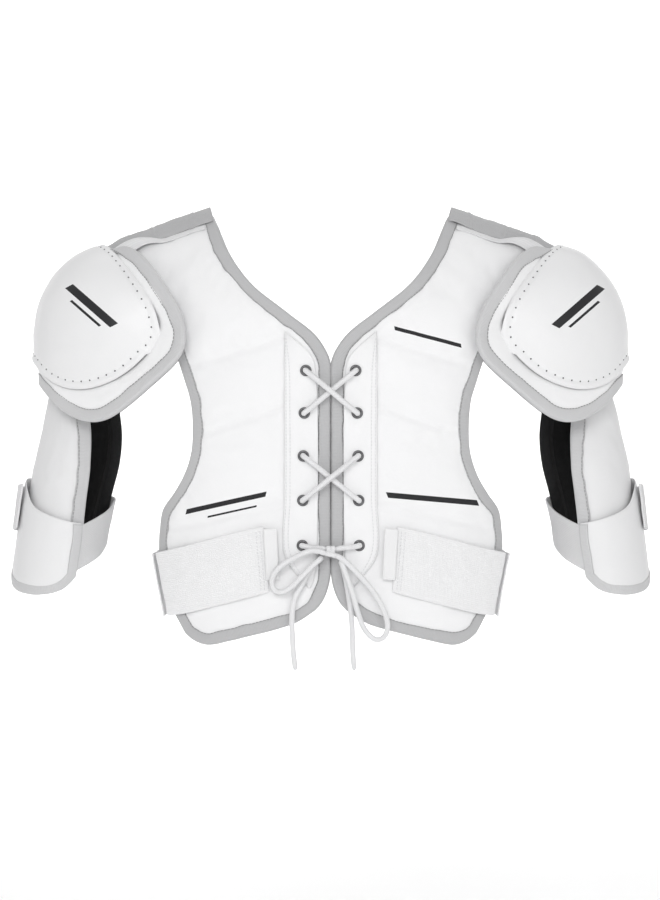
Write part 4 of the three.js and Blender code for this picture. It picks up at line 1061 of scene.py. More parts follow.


# the stitches get a dark grey thread so that the row paints the shadow along the tape's inner edge
def tape_stitches(name, info, share=0.92, pitch=3.3, length=2.75, radius=0.3):
    E, N, inward, wf, f, thick = info
    P = E + inward * (wf * share)[:, None] + N * (f + thick * 1.0)[:, None]
    return stitches(name, P, N, pitch, length, radius, lift=0.0)


# the panel's own edge, from the shoulder end round the hem to the neck
first = 5
ei = [(r, 0) for r in range(first, NV - 1)] + [(NV - 1, c) for c in range(NU)] + [(r, NU - 1) for r in range(NV - 2, first - 1, -1)]
er, ec = np.array([i[0] for i in ei]), np.array([i[1] for i in ei])
edge_P, edge_N = panel_P[er, ec], panel_N[er, ec]
T = unit(np.gradient(edge_P, axis=0))
into = np.cross(edge_N, T)
if (into[len(into) // 4] @ (panel_P[NV // 2, NU // 2] - edge_P[len(into) // 4])) < 0:
    into = -into
for side in ("right", "left"):
    for back in (False, True):
        part = "back" if back else "chest"
        E, N, I = (sided(flipped(q, back), side) for q in (edge_P, edge_N, into))
        seed = 41 + 7 * back + 13 * (side == "left")
        tape, info = bound_edge(f"{side}_{part}_edge_tape", E, N, I, -0.75, -6.6, width=8.7, reach=2.3, seed=seed)
        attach(tape, BODY)
        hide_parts(f"{side}_{part}_binding")
        tape["look"] = "binding"
        # the edge stitches' dark thread is painted shadow along the tape's inner edge
        st = tape_stitches(f"{side}_{part}_edge_stitches", info)
        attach(st, BODY)
        st["look"] = "thread_painted_edge_shadow"


# ---- shoulder band, its strap, the facing, the gore --------------------------------------------------
def put(ob, body, look, slot_name, *nodes, padded=None):
    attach(ob, body)
    if nodes:
        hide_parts(*nodes)
    ob["look"] = look
    return ob


BAND_LOW = curve([(-102.2, 8.8), (-112.7, 5.2), (-123.2, 0.9), (-135.4, -3.9), (-145.9, -7), (-158.2, -7.9),
    (-169.5, -8.8), (-179.2, -13.1), (-187.9, -18.4), (-194.9, -22.8)], 300)


def shoulder_band(side):
    """Grey tape over the shoulder ridge from the neck to the cap's hinge line, creased where it was folded."""
    n_long, n_half = ((120, 20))
    seed = 61 + 5 * (side == "left")
    noise, fine = Noise(seed, 40, 3), Noise(seed + 1, 11, 2)
    share = np.linspace(0, 1, n_long)
    rows = []
    for q in share:
        x = -194 + (-104.8 - -194) * q
        low = float(np.interp(x + 1.8 * q, BAND_LOW[::-1, 0], BAND_LOW[::-1, 1]))
        zr = float(ridge_drawn(np.array(x)))
        t = np.linspace(0, 1, 60) ** 1.8
        X = x + 1.8 * q * t
        Z = zr + (low - zr) * t
        P, N = torso(X, Z), torso_normal(X, Z)
        P[0] = onto(np.array(X[0]), np.array(zr), np.array(-0.8)) * np.array([1, 0, 1]) + np.array([0, 0, 0])
        N[0] = (-0.33, 0, 0.944)
        d = arclen(P)
        s = np.linspace(0, d[-1], n_half)
        at = lambda V: np.stack([np.interp(s, d, V[:, k]) for k in range(3)], -1)
        P, N = at(P), at(N)
        f = np.array([1, -1, 1])
        rows.append(np.concatenate([P[::-1], (P * f)[1:]]))
    P = np.array(rows)
    for _ in range(3):
        P[:, 1:-1] = (P[:, :-2] + 2 * P[:, 1:-1] + P[:, 2:]) / 4
    N = grid_normals(P, (0, 0, 1))
    if N[n_long // 2, P.shape[1] // 2, 2] < 0:
        N = -N
    for _ in range(4):
        N[:, 1:-1] = unit(N[:, :-2] + 2 * N[:, 1:-1] + N[:, 2:])
    a = np.linspace(-1, 1, P.shape[1])[None, :]
    s = (arclen(P[:, n_half - 1]))[:, None]
    total = s[-1, 0]
    crease = 0
    for f, depth, tilt in ((0.42, 0.75, -5.0), (0.83, 0.75, 5.0), (0.2, 0.4, 3.0)):
        d = (s - f * total) + tilt * np.abs(a)
        crease = crease + depth * (np.exp(-(d / 1.1) ** 2) * 0.8 - np.exp(-((d - 2.4) / 1.8) ** 2) * 0.5)
    at = np.stack(np.broadcast_arrays(s, a * 30), -1)
    lift = 2.7 - 0.5 * np.abs(a) ** 6 + crease + 0.28 * noise(at) + 0.08 * fine(at)
    drop = np.stack([0 * lift, 0 * lift, -3.2 * smooth01((0.22 - share) / 0.22)[:, None] ** 1.5 * np.ones_like(lift)], -1)
    top = P + drop + N * (lift + 0.8)[..., None]
    low = P + drop + N * (lift - 0.3)[..., None]
    return slab(f"{side}_shoulder_band", sided(top, side), sided(low, side), weave=at, rim=2)


for side in ("right", "left"):
    put(shoulder_band(side), BODY, "binding_flat", "binding_tape", f"{side}_shoulder_seam_tape")


def lifted_strip(A, B, n, m, lift):
    """Grid between two drawn lines on the torso. lift(i share, k share) is its height off the surface."""
    a, b = along(A, np.linspace(0, 1, n)), along(B, np.linspace(0, 1, n))
    k = np.linspace(0, 1, m)[None, :, None]
    D = a[:, None, :2] * (1 - k) + b[:, None, :2] * k
    P, N = torso(D[..., 0], D[..., 1]), torso_normal(D[..., 0], D[..., 1])
    for _ in range(4):
        N[1:-1] = unit(N[:-2] + 2 * N[1:-1] + N[2:])
    h = lift(np.linspace(0, 1, n)[:, None], np.linspace(0, 1, m)[None, :]) * np.ones((n, m))
    s = arclen(P[:, m // 2])[:, None]
    w = arclen(P[n // 2])[None, :]
    return D, P, N, h, np.stack(np.broadcast_arrays(s, w), -1)


def strap_piece(name, side, A, B, n, m, lift, thick, flip=False, sag=None, rim=3):
    D, P, N, h, weave = lifted_strip(A, B, n, m, lift)
    if flip:
        P, N = flipped(P, True), flipped(N, True)
    top, low = P + N * (h + thick)[..., None], P + N * h[..., None]
    return slab(name, sided(top, side), sided(low, side), weave=weave, rim=rim), (D, P, N, h, weave)


# the thin white strap that comes out under the band and tucks under the cap
for side in ("right", "left"):
    n1 = Noise(71 + (side == "left"), 30, 2)

    def cap_strap_lift(s, w, n1=n1):
        fold = 1.1 * smooth01((s - 0.5) / 0.2) * np.exp(-((w - 0.35) / 0.16) ** 2)
        return 1.2 + 1.0 * smooth01(s / 0.2) + 1.9 * smooth01((s - 0.45) / 0.3) + fold + 0.15 * n1(np.stack(np.broadcast_arrays(s * 60, w * 8), -1))

    ob, _ = strap_piece(f"{side}_cap_strap_web", side, curve([(-110, 4.4), (-123.2, -0.4), (-135.4, -4.7),
        (-145.9, -7.9), (-158.2, -7.5), (-169.5, -8.8), (-179.2, -12.7), (-189.7, -19.2)], 60),
                        curve([(-109.6, 1.3), (-123.2, -3.3), (-135.4, -7.9), (-145.9, -11), (-156.4, -12.2),
                            (-164.3, -15.3), (-170.4, -19.2),
                            (-179.2, -26.2)], 60), 60, 11, cap_strap_lift, 0.9, rim=3)
    put(ob, BODY, "elastic", "elastic", f"{side}_cap_strap")

# facing strip with its eyelet row
F_OUT, F_IN = curve(FACING_OUTER, 300), curve(FACING_INNER, 300)
for side in ("right", "left"):
    n1 = Noise(81 + 3 * (side == "left"), 34, 3)
    eye = arr(EYELETS)

    def facing_lift(s, w, n1=n1):
        D = along(F_OUT, s[:, 0])[:, None, :] * (1 - w[..., None]) + along(F_IN, s[:, 0])[:, None, :] * w[..., None]
        d = np.sqrt(((D[:, :, None, :] - eye[None, None]) ** 2).sum(-1)).min(-1)
        dimple = -0.55 * np.exp(-(d / 6.5) ** 2)
        pucker = 0.10 * np.sin(s * 2 * math.pi * 62) * np.exp(-w / 0.06)
        return 1.15 + dimple * 0.6 + 0.20 * n1(D) + 0.28 * np.sin(math.pi * w) - 0.55 * np.exp(-w / 0.05) - 0.4 * np.exp(-(1 - w) / 0.05) + pucker

    ob, info = strap_piece(f"{side}_lace_facing_cloth", side, F_OUT, F_IN, 150, 26, facing_lift, 1.0, rim=2)
    put(ob, BODY, "cover_plain", "cover_fabric", f"{side}_chest_lace_facing")
    D, P, N, h, weave = info
    # two rows of stitches down its outer edge, and on across the lower corner
    for k, c in ((1, 1), (2, 4)):
        Q, M = P[3:, c] + N[3:, c] * (h[3:, c] + 1.0)[:, None], N[3:, c]
        st = stitches(f"{side}_facing_stitches_{k}", sided(Q, side), sided(M, side), 3.0, 2.1, 0.34)
        put(st, BODY, "thread_white", "cover_fabric")

# the back's elastic gore
gz = np.linspace(-147, -278.2, 60)
gx = np.linspace(-30, 30, 40)
GX, GZ = np.meshgrid(gx, gz)
gp, gn = torso(GX, GZ) * np.array([1, -1, 1]), torso_normal(GX, GZ) * np.array([1, -1, 1])
gp[..., 1] = -torso_y(GX, gp[..., 2])
gh = GAP + TAPE + 1 + 0.15 * Noise(91, 25, 2)(np.stack([GX, GZ], -1)) + 0.12 * np.sin(GZ * 1.5)
put(slab("back_gore_elastic", gp + gn * (gh + STRAP * 0.8)[..., None], gp + gn * gh[..., None], weave=np.stack([GZ, GX], -1), rim=3),
    BODY, "elastic_dark", "elastic", "back_gore")

# ---- rib straps --------------------------------------------------------------------------------------
RIB_LIFT = GAP + TAPE + 1.5
RIB_TOP = [(-58.4, -258.6), (-79.4, -262.9), (-101.3, -268.6), (-123.2, -274.8), (-137.2, -278.2), (-149.4, -280.9)]
RIB_LOW = [(-54, -314.6), (-75, -320.2), (-96.9, -325.9), (-114.4, -330.3), (-128.4, -333.4), (-139.8, -334.7)]
rib_top, rib_low = curve(RIB_TOP, 200), curve(RIB_LOW, 200)
for side in ("right", "left"):
    n1, n2 = Noise(101 + 3 * (side == "left"), 45, 3), Noise(102 + 3 * (side == "left"), 14, 2)

    def rib_lift(s, w, n1=n1, n2=n2):
        at = np.stack(np.broadcast_arrays(s * 110, w * 56), -1)
        return RIB_LIFT + 0.35 * n1(at) * smooth01(s * 5) + 0.1 * n2(at) + 0.5 * np.sin(math.pi * w) * smooth01(s * 4) * smooth01((1 - s) * 5) - 0.9 * smooth01(1 - s * 14)

    ob, info = strap_piece(f"{side}_rib_strap_front_web", side, rib_top, rib_low, 90, 44, rib_lift, STRAP * 0.85)
    put(ob, f"{side}_rib_strap", "elastic_wide", "elastic", f"{side}_rib_strap_front")
    D, P, N, h, weave = info
    # double row of stitches across the inner end
    for k, row in (((1, 3), (2, 6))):
        Q = P[row, 1:-1] + N[row, 1:-1] * (h[row, 1:-1] + STRAP * 0.85)[:, None]
        put(stitches(f"{side}_rib_stitches_{k}", sided(Q, side), sided(N[row, 1:-1], side), 2.9, 2.0, 0.32), f"{side}_rib_strap", "thread_white", "elastic")
    # the tab: a flat moulded hook pad with a raised rim
    def tab_lift(s, w):
        return RIB_LIFT + STRAP + 0.1 + 0 * s

    A, B = curve([(-58, -260.3), (-56.7, -282.6), (-55.3, -304.5)], 60), curve([(-46.6, -259.4), (-45.7, -281.8),
        (-44.8, -303.6)], 60)
    D, P, N, h, weave = lifted_strip(A, B, 60, 16, tab_lift)
    sq, wq = np.linspace(-1, 1, 60)[:, None], np.linspace(-1, 1, 16)[None, :]
    rim_h = 0.45 * smooth01((np.maximum(np.abs(sq) ** 1 * 1.0, 0) - 0.93) / 0.05) + 0.45 * smooth01((np.abs(wq) - 0.72) / 0.12)
    top = P + N * (h + 0.55 + np.minimum(rim_h, 0.45) * 0.8 - 0.5 * (np.abs(wq) > 0.99) - 0.3 * (np.abs(sq) > 0.99))[..., None]
    put(slab(f"{side}_rib_tab_pad", sided(top, side), sided(P + N * h[..., None], side), weave=weave, rim=2), f"{side}_rib_strap", "tab", "hook_tab", f"{side}_rib_strap_tab")


def rear_strap_grid(n, m):
    """The rib strap's run round the side and on to the back panel."""
    f0, f1 = arr([rib_top[-1], rib_low[-1]])
    k = np.linspace(0, 1, m)
    F = f0[None] * (1 - k[:, None]) + f1[None] * k[:, None] + np.array([-1.4, 0])
    a = torso(F[:, 0], F[:, 1])
    nf = torso_normal(F[:, 0], F[:, 1])
    P, N = [], []
    for t in np.linspace(0, 1, n):
        if t < 0.6:
            s = t / 0.6
            ang = 2 * s - 1
            p = np.stack([a[:, 0] - 1.2 * (1 - ang * ang), a[:, 1] * (1 - 2 * s), a[:, 2]], -1)
            nn = unit(np.stack([-1 + (nf[:, 0] + 1) * ang * ang, -nf[:, 1] * ang * abs(ang), nf[:, 2] * ang * ang], -1))
        else:
            s = (t - 0.6) / 0.4
            X, Z = F[:, 0] + 40.25 * s, F[:, 1] + 8.05 * s
            p, nn = torso(X, Z) * np.array([1, -1, 1]), torso_normal(X, Z) * np.array([1, -1, 1])
        P.append(p)
        N.append(nn)
    P, N = np.array(P), np.array(N)
    for _ in range(8):
        P[1:-1] = (P[:-2] + 2 * P[1:-1] + P[2:]) / 4
    N = grid_normals(P, (-1, 0, 0))
    if N[n // 3, m // 2, 0] > 0:
        N = -N
    for _ in range(4):
        N[1:-1] = unit(N[:-2] + 2 * N[1:-1] + N[2:])
    return P, N


rp, rn = rear_strap_grid(110, 40)
for side in ("right", "left"):
    n1 = Noise(111 + 3 * (side == "left"), 40, 3)
    s, w = arclen(rp[:, rp.shape[1] // 2])[:, None], arclen(rp[len(rp) // 2])[None, :]
    at = np.stack(np.broadcast_arrays(s, w), -1)
    round_side = smooth01(1 - np.abs(np.linspace(0, 1, len(rp)) - 0.3) / 0.3)[:, None]
    lift = RIB_LIFT + 0.7 - 3.3 * round_side + 0.25 * n1(at)
    ob = slab(f"{side}_rib_strap_rear_web", sided(rp + rn * (lift + STRAP * 0.85)[..., None], side), sided(rp + rn * lift[..., None], side), weave=at, rim=3)
    put(ob, BODY, "elastic_wide", "elastic", f"{side}_rib_strap_rear")
    for k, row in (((1, -4), (2, -8))):
        Q = rp[row, 1:-1] + rn[row, 1:-1] * (lift[row, 1:-1] + STRAP * 0.85)[:, None]
        put(stitches(f"{side}_rear_stitches_{k}", sided(Q, side), sided(rn[row, 1:-1], side), 2.9, 2.0, 0.32), BODY, "thread_white", "elastic")

# ---- eyelets -----------------------------------------------------------------------------------------


def lathe(name, profile, at, axis, sides=40):
    axis = unit(arr(axis))
    u = unit(np.cross(axis, [0.2, 0.1, 1.0]))
    w = np.cross(axis, u)
    a = np.linspace(0, 2 * math.pi, sides, endpoint=False)
    S = np.stack([at + axis * h + r * (np.cos(a)[:, None] * u + np.sin(a)[:, None] * w) for r, h in profile])
    n, m = S.shape[:2]
    V = S.reshape(-1, 3)
    F = [[i * m + k, i * m + (k + 1) % m, ((i + 1) % n) * m + (k + 1) % m, ((i + 1) % n) * m + k] for i in range(n) for k in range(m)]
    F = flip_out(V, F)
    return make_mesh(name, V, F, np.stack(np.broadcast_arrays(np.arange(n)[:, None] * 1.0, a[None] * 4), -1).reshape(-1, 2))


dome = [(EYELET_R - 0.02, FLANGE - 0.45)] + [(3.85 + 1.2 * math.cos(q), FLANGE - 0.3 + 0.95 * math.sin(q)) for q in np.linspace(0, math.pi * 0.92, 11)]
profile = dome + [(2.7, FLANGE - 0.8), (2.72, -2.0), (2.75, -6.9), (3.1, -7.15), (3.3, -6.8), (3.32, -2.0),
    (3.35, FLANGE - 0.9)]
for side in ("right", "left"):
    for i in range(5):
        ob = lathe(f"{side}_eyelet_{i + 1}_ring", profile, sided(eyelet_at[i], side), sided(eyelet_axis[i], side))
        put(ob, BODY, "eyelet", "eyelet_metal", f"{side}_eyelet_{i + 1}")


# ---- shoulder caps -----------------------------------------------------------------------------------
CT, CL, CS = curve(CAP_TOP), curve(CAP_LOW), curve(CAP_SILHOUETTE)


def cap_point(j, s):
    """The dome's outer surface: j runs from the front (-1) to the back (1), s from the upper rim (0) to the lower (1)."""
    j, s = np.broadcast_arrays(np.asarray(j, float), np.asarray(s, float))
    e = 0.2
    c, y = np.cos(math.pi / 2 * np.abs(j)), -CAP_DEPTH * np.sin(math.pi / 2 * np.abs(j))
    a = (np.sqrt(j * j + e * e) - e) / (math.sqrt(1 + e * e) - e)
    T, L = along(CT, a), along(CL, a)
    mid = (T + L) / 2
    bulge = arr(CAP_BULGE)[1] + (arr(CAP_BULGE)[0] - arr(CAP_BULGE)[1]) * c[..., None] - mid

    def arc(t, l, m, b):
        return m + np.cos(math.pi * s)[..., None] * (t - l) / 2 + np.sin(math.pi * s)[..., None] * b

    p = arc(T, L, mid, bulge)
    T0, L0 = CT[0], CL[0]
    m0 = (T0 + L0) / 2
    q = arc(T0, L0, m0, arr(CAP_BULGE)[0] - m0)
    real = along(CS, s)
    X, Z = np.moveaxis(p + (c * c)[..., None] * (real - q), -1, 0)
    f = onto(X, Z, y)
    f[..., 1] = np.where(j < 0, f[..., 1], -f[..., 1])
    return f


def cap_normal(j, s):
    e = 1e-3
    j, s = np.broadcast_arrays(np.asarray(j, float), np.asarray(s, float))
    jc, sc = np.clip(j, -1 + e, 1 - e), np.clip(s, e, 1 - e)
    a = cap_point(jc + e, sc) - cap_point(jc - e, sc)
    b = cap_point(jc, sc + e) - cap_point(jc, sc - e)
    n = unit(np.cross(a, b))
    m = cap_point(jc, sc) - np.array([-208.0, 0, -81.0])
    return np.where((n * m).sum(-1, keepdims=True) < 0, -n, n)


def cap_disc(n_ring, n_turn, power=18.0):
    """Rings from the dome's middle to its rim; the corners of the j, s square are rounded."""
    r = np.linspace(0, 1, n_ring)[:, None]
    q = np.linspace(0, 2 * math.pi, n_turn, endpoint=False)[None, :]
    c, s = np.cos(q), np.sin(q)
    k = (np.abs(c) ** power + np.abs(s) ** power) ** (-1 / power)
    # from a circle in the middle to a rounded square at the rim
    mix = smooth01(r)
    f = r * (1 + (k - 1) * mix)
    return f * c, 0.5 + 0.5 * f * s


n_ring, n_turn = ((56, 170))
J, S_ = cap_disc(n_ring, n_turn)
cap_P, cap_N = cap_point(J, S_), cap_normal(J, S_)
for i in range(n_ring // 2, n_ring):
    for _ in range(int((22) * smooth01(np.array((i / n_ring - 0.5) / 0.4)))):
        # rounds the corners and leaves the long curves where they are
        for share in (0.5, -0.53):
            cap_P[i] = cap_P[i] + share * ((np.roll(cap_P[i], 1, 0) + np.roll(cap_P[i], -1, 0)) / 2 - cap_P[i])
for _ in range(3):
    cap_N[1:] = unit(np.roll(cap_N[1:], 1, 1) + 2 * cap_N[1:] + np.roll(cap_N[1:], -1, 1))


def disc_body(name, top, low, weave, rim=4, bulge=0.8, extra=None):
    """Closed body between two sets of rings whose first ring is one point."""
    R, C = top.shape[:2]
    V = [top[0].mean(0)[None], top[1:].reshape(-1, 3), low[0].mean(0)[None], low[1:].reshape(-1, 3)]
    base_t, base_l = 1, 2 + (R - 1) * C
    W = [weave[0].mean(0)[None], weave[1:].reshape(-1, 2)] * 2
    F = []
    for base, centre, flip in ((base_t, 0, False), (base_l, base_l - 1, True)):
        G = [[centre, base + k, base + (k + 1) % C] for k in range(C)]
        G += [[base + r * C + k, base + (r + 1) * C + k, base + (r + 1) * C + (k + 1) % C, base + r * C + (k + 1) % C] for r in range(R - 2) for k in range(C)]
        F += [g[::-1] for g in G] if flip else G
    a, b = base_t + (R - 2) * C, base_l + (R - 2) * C
    rings = [np.arange(a, a + C)]
    t, l = top[-1], low[-1]
    away = unit((top[-1] - top[-2]) + (low[-1] - low[-2]))
    h = np.linalg.norm(t - l, axis=1)[:, None] / 2
    count = sum(len(v) for v in V)
    for i in range(1, rim + 1):
        q = math.pi * i / (rim + 1)
        V.append((t + l) / 2 + (t - l) / 2 * math.cos(q) + away * h * math.sin(q) * bulge)
        W.append(weave[-1])
        rings.append(np.arange(count, count + C))
        count += C
    rings.append(np.arange(b, b + C))
    for p, q in zip(rings[:-1], rings[1:]):
        F += [[int(p[k]), int(q[k]), int(q[(k + 1) % C]), int(p[(k + 1) % C])] for k in range(C)]
    V = np.vstack(V)
    return make_mesh(name, V, flip_out(V, F), np.vstack(W))


def drawn_xz(P):
    """Where a point on the -X side appears in the drawing plane."""
    s = 1 + (P[..., 1] - DRAWN_Y) / EYE_DISTANCE
    return np.stack([P[..., 0] / s, EYE_Z + (P[..., 2] - EYE_Z) / s], -1)


rim_d = np.sqrt(((cap_P[:, :, None, :] - cap_P[-1][None, None]) ** 2).sum(-1)).min(-1)
for side in ("right", "left"):
    n1 = Noise(121 + 3 * (side == "left"), 70, 3)
    at = drawn_xz(cap_P) + np.where(cap_P[..., 1:2] > -2, 900.0, 0.0)
    # a soft step where the foam under the skin ends at the stitch line, and a rolled rim outside it
    step = -0.75 * np.exp(-((rim_d - 7.0) / 1.5) ** 2) + 0.5 * np.exp(-((rim_d - 2.9) / 1.9) ** 2)
    lift = step + 0.28 * n1(cap_P) * smooth01((rim_d - 9) / 18) + 0.9 * smooth01((rim_d - 9) / 30)
    lift = lift - 0.35 * np.exp(-rim_d / 0.9)
    top = cap_P + cap_N * lift[..., None]
    low = cap_P + cap_N * (-1.9 - 0.0 * rim_d)[..., None]
    ob = disc_body(f"{side}_cap_dome", sided(top, side), sided(low, side), at, rim=4)
    put(ob, f"{side}_cap", f"cap_{side}", "cap_skin", f"{side}_cap_shell")
    # stitch holes round the dome, 7.4 mm inside its rim: each a small near-black capsule laid on the skin, painted
    # shade for the sunk eye with a thread in it
    line, nrm = [], []
    for k in range(n_turn):
        d, i = rim_d[:, k], n_ring - 1
        while d[i] < 7.0:
            i -= 1
        f = (7.0 - d[i]) / (d[i + 1] - d[i])
        line.append((cap_P[i, k] + cap_N[i, k] * lift[i, k]) * (1 - f) + (cap_P[i + 1, k] + cap_N[i + 1, k] * lift[i + 1, k]) * f)
        nrm.append(cap_N[i, k])
    line, nrm = soften(np.array(line), 2, True), soften(np.array(nrm), 6, True)
    Q, M = resample(np.vstack([line, line[:1]]), 0.5, np.vstack([nrm, nrm[:1]]))
    total = arclen(Q)[-1]
    count = int(round(total / 8.9))
    seg, nor = [], []
    for i in range(count):
        d = (i + 0.5) * total / count
        k = min(len(Q) - 3, int(d / 0.5))
        t = unit(Q[k + 1] - Q[k])
        n = unit(M[k])
        seg.append((Q[k] - t * 0.7 + n * 0.02, Q[k] + t * 0.7 + n * 0.02))
        nor.append(n)
    st = capsule_run(f"{side}_cap_hole_shade_dots", [(sided(a, side), sided(b, side)) for a, b in seg], 0.72, [sided(n, side) for n in nor], flat=0.6, sides=8)
    put(st, f"{side}_cap", "painted_hole_shade", "cap_skin")
    # foam inside, with its liner
    J2, S2 = cap_disc(24, 90)
    J2, S2 = J2 * 0.86, 0.5 + (S2 - 0.5) * 0.84
    p2, n2 = cap_point(J2, S2), cap_normal(J2, S2)
    rr = np.linspace(0, 1, 24)[:, None] * np.ones((1, 90))
    belly = CAP_FOAM * (1 - 0.75 * smooth01((rr - 0.72) / 0.28)) + 0.3 * Noise(131, 30, 2)(p2)
    ob = disc_body(f"{side}_cap_foam", sided(p2 + n2 * (-SHELL - GAP - 0.4), side), sided(p2 + n2 * (-SHELL - GAP - belly)[..., None], side), drawn_xz(p2), rim=3)
    put(ob, f"{side}_cap", "liner", "pad_liner", f"{side}_cap_pad", padded=0.6)

# flap: a padded ring from under the dome's rim to its own bound edge
fe = []
for X, Z, y in FLAP_EDGE:
    fe.append(onto(np.array(X), np.array(Z), np.array(y)))
fe = curve(np.array(fe), 500)
n_half = 120


def rim_line(n):
    """The dome's rim from the middle at the top, round the front, to the middle at the bottom."""
    q = np.linspace(-math.pi / 2, -3 * math.pi / 2, 2000)
    c, s = np.cos(q), np.sin(q)
    k = (np.abs(c) ** 9 + np.abs(s) ** 9) ** (-1 / 9)
    j, ss = k * c, 0.5 + 0.5 * k * s
    P = cap_point(j, ss)
    d = arclen(P)
    t = np.linspace(0, d[-1], n)
    return np.interp(t, d, j), np.interp(t, d, ss)


rj, rs = rim_line(n_half)
rj, rs = rj * 0.965, 0.5 + (rs - 0.5) * 0.965
rim_P, rim_N = cap_point(rj, rs), cap_normal(rj, rs)
ij, is_ = np.clip(rj, -1, 1) * 0.88, 0.5 + (rs - 0.5) * 0.86
in_P, in_N = cap_point(ij, is_), cap_normal(ij, is_)
tt = np.linspace(0.02, 0.985, n_half)
edge = along(fe, tt)
top_side = smooth01((0.26 - rs) / 0.2)
under = rim_P + rim_N * (-SHELL - 2.6 - 0.4 * top_side)[:, None]
inner = in_P + in_N * (-SHELL - 2.2 - 0.6 * top_side)[:, None]
gap = np.linalg.norm(edge - under, axis=1)
push = unit(under - inner)
short = np.clip((7 - gap) / 7, 0, 1)[:, None]
edge = edge * (1 - short) + (under + push * 5) * short
for _ in range(10):
    edge[1:-1] = (edge[:-2] + 2 * edge[1:-1] + edge[2:]) / 4


def ring_of(P, share=0.0, times=0):
    """The front half and its rear half. share draws the rear one out along the line of sight."""
    back = P[::-1] * np.array([1, -1, 1])
    share = share * smooth01((-back[:, 2:] - 62) / 50)
    k = 1 + share * (back[:, 1:2] - P[::-1][:, 1:2]) / EYE_DISTANCE
    back = np.concatenate([back[:, :1] * k, back[:, 1:2], EYE_Z + (back[:, 2:] - EYE_Z) * k], 1)
    ring = np.vstack([P, back[1:-1]])
    near = np.exp(-((np.arange(len(ring)) - len(P) + 1) / (0.16 * len(P))) ** 2)[:, None]
    for _ in range(times):
        ring = ring * (1 - near) + near * (np.roll(ring, 1, 0) + 2 * ring + np.roll(ring, -1, 0)) / 4
    return ring


inner_r, under_r, edge_r = ring_of(inner), ring_of(under), ring_of(edge, 0.9, 80)
n_cross = 22
w = np.concatenate([np.linspace(0, 1, 5)[:-1] * 0.999, 1 + np.linspace(0, 1, n_cross)])
flap_rows = []
for q in w:
    if q < 1:
        flap_rows.append(inner_r * (1 - q) + under_r * q)
    else:
        f = q - 1
        flap_rows.append(under_r * (1 - f) + edge_r * f)
flap_P = np.stack(flap_rows, 0)  # rows across, columns round
a = np.roll(flap_P, -1, 1) - np.roll(flap_P, 1, 1)
b = np.gradient(flap_P, axis=0)
flap_N = unit(np.cross(a, b))
k = n_half // 2
if flap_N[-4, k] @ np.array([-0.3, -1.0, 0.0]) < 0:
    flap_N = -flap_N
for _ in range(10):
    flap_N = unit(np.roll(flap_N, 1, 1) + 2 * flap_N + np.roll(flap_N, -1, 1))
for _ in range(3):
    flap_N[1:-1] = unit(flap_N[:-2] + 2 * flap_N[1:-1] + flap_N[2:])
reach = np.linalg.norm(edge_r - under_r, axis=1)[None, :]
f_share = np.clip(w - 1, 0, 1)[:, None]
d_edge = (1 - f_share) * reach
d_dome = f_share * reach * (w[:, None] >= 1)


def ring_body(name, top, low, weave):
    """A closed ring: rows across (n), columns round (m, closed)."""
    S = np.concatenate([top, low[::-1]], 0).transpose(1, 0, 2)
    W = np.concatenate([weave, weave[::-1]], 0).transpose(1, 0, 2)
    n, m = S.shape[:2]
    V = S.reshape(-1, 3)
    F = [[i * m + k2, i * m + (k2 + 1) % m, ((i + 1) % n) * m + (k2 + 1) % m, ((i + 1) % n) * m + k2] for i in range(n) for k2 in range(m)]
    return make_mesh(name, V, flip_out(V, F), W.reshape(-1, 2))


for side in ("right", "left"):
    n1, n2 = Noise(141 + 3 * (side == "left"), 42, 3), Noise(142 + 3 * (side == "left"), 15, 2)
    crown = 1.6 * puff(d_edge - 9, 6) * smooth01(d_dome / 9) * smooth01((reach - 8) / 16)
    pucker = 0.22 * n1(flap_P) + 0.08 * n2(flap_P)
    lift = crown + pucker * smooth01((d_edge - 10) / 8) * smooth01(d_dome / 6) - 1.0 * np.exp(-d_edge / 2.2) - 0.3 * np.exp(-(d_edge - 9) ** 2 / 6)
    belly = -FLAP - 0.8 * puff(d_edge - 6, 8) * smooth01(d_dome / 9) + 1.0 * np.exp(-d_edge / 2.2) + 0.15 * n1(flap_P + 50)
    top = flap_P + flap_N * lift[..., None]
    low = flap_P + flap_N * np.minimum(belly, lift - 2.2)[..., None]
    ob = ring_body(f"{side}_cap_flap_pad", sided(top, side), sided(low, side), drawn_xz(flap_P))
    put(ob, f"{side}_cap", "flap", "cap_skin", f"{side}_cap_flap", padded=0.7)
    # binding round the flap's edge, with its ends meeting in the middle of the top
    m = edge_r.shape[0]
    start = 4
    sel = np.arange(start, m - start + 1) % m
    E, N = edge_r[sel], flap_N[-1][sel]
    I = unit(under_r[sel] - edge_r[sel])
    wide = np.minimum(10.5, np.linalg.norm(under_r[sel] - edge_r[sel], axis=1) * 0.62).mean()
    tape, info = bound_edge(f"{side}_cap_flap_edge_tape", sided(E, side), sided(N, side), sided(I, side), -0.5, -FLAP + 1.0, width=9.6, seed=151 + 3 * (side == "left"), reach=2.0)
    put(tape, f"{side}_cap", "binding_light", "binding_tape", f"{side}_cap_flap_binding")
    # stitches in dark thread: painted shadow along the flap binding's inner edge
    put(tape_stitches(f"{side}_cap_flap_stitches", info), f"{side}_cap", "thread_painted_edge_shadow", "binding_tape")


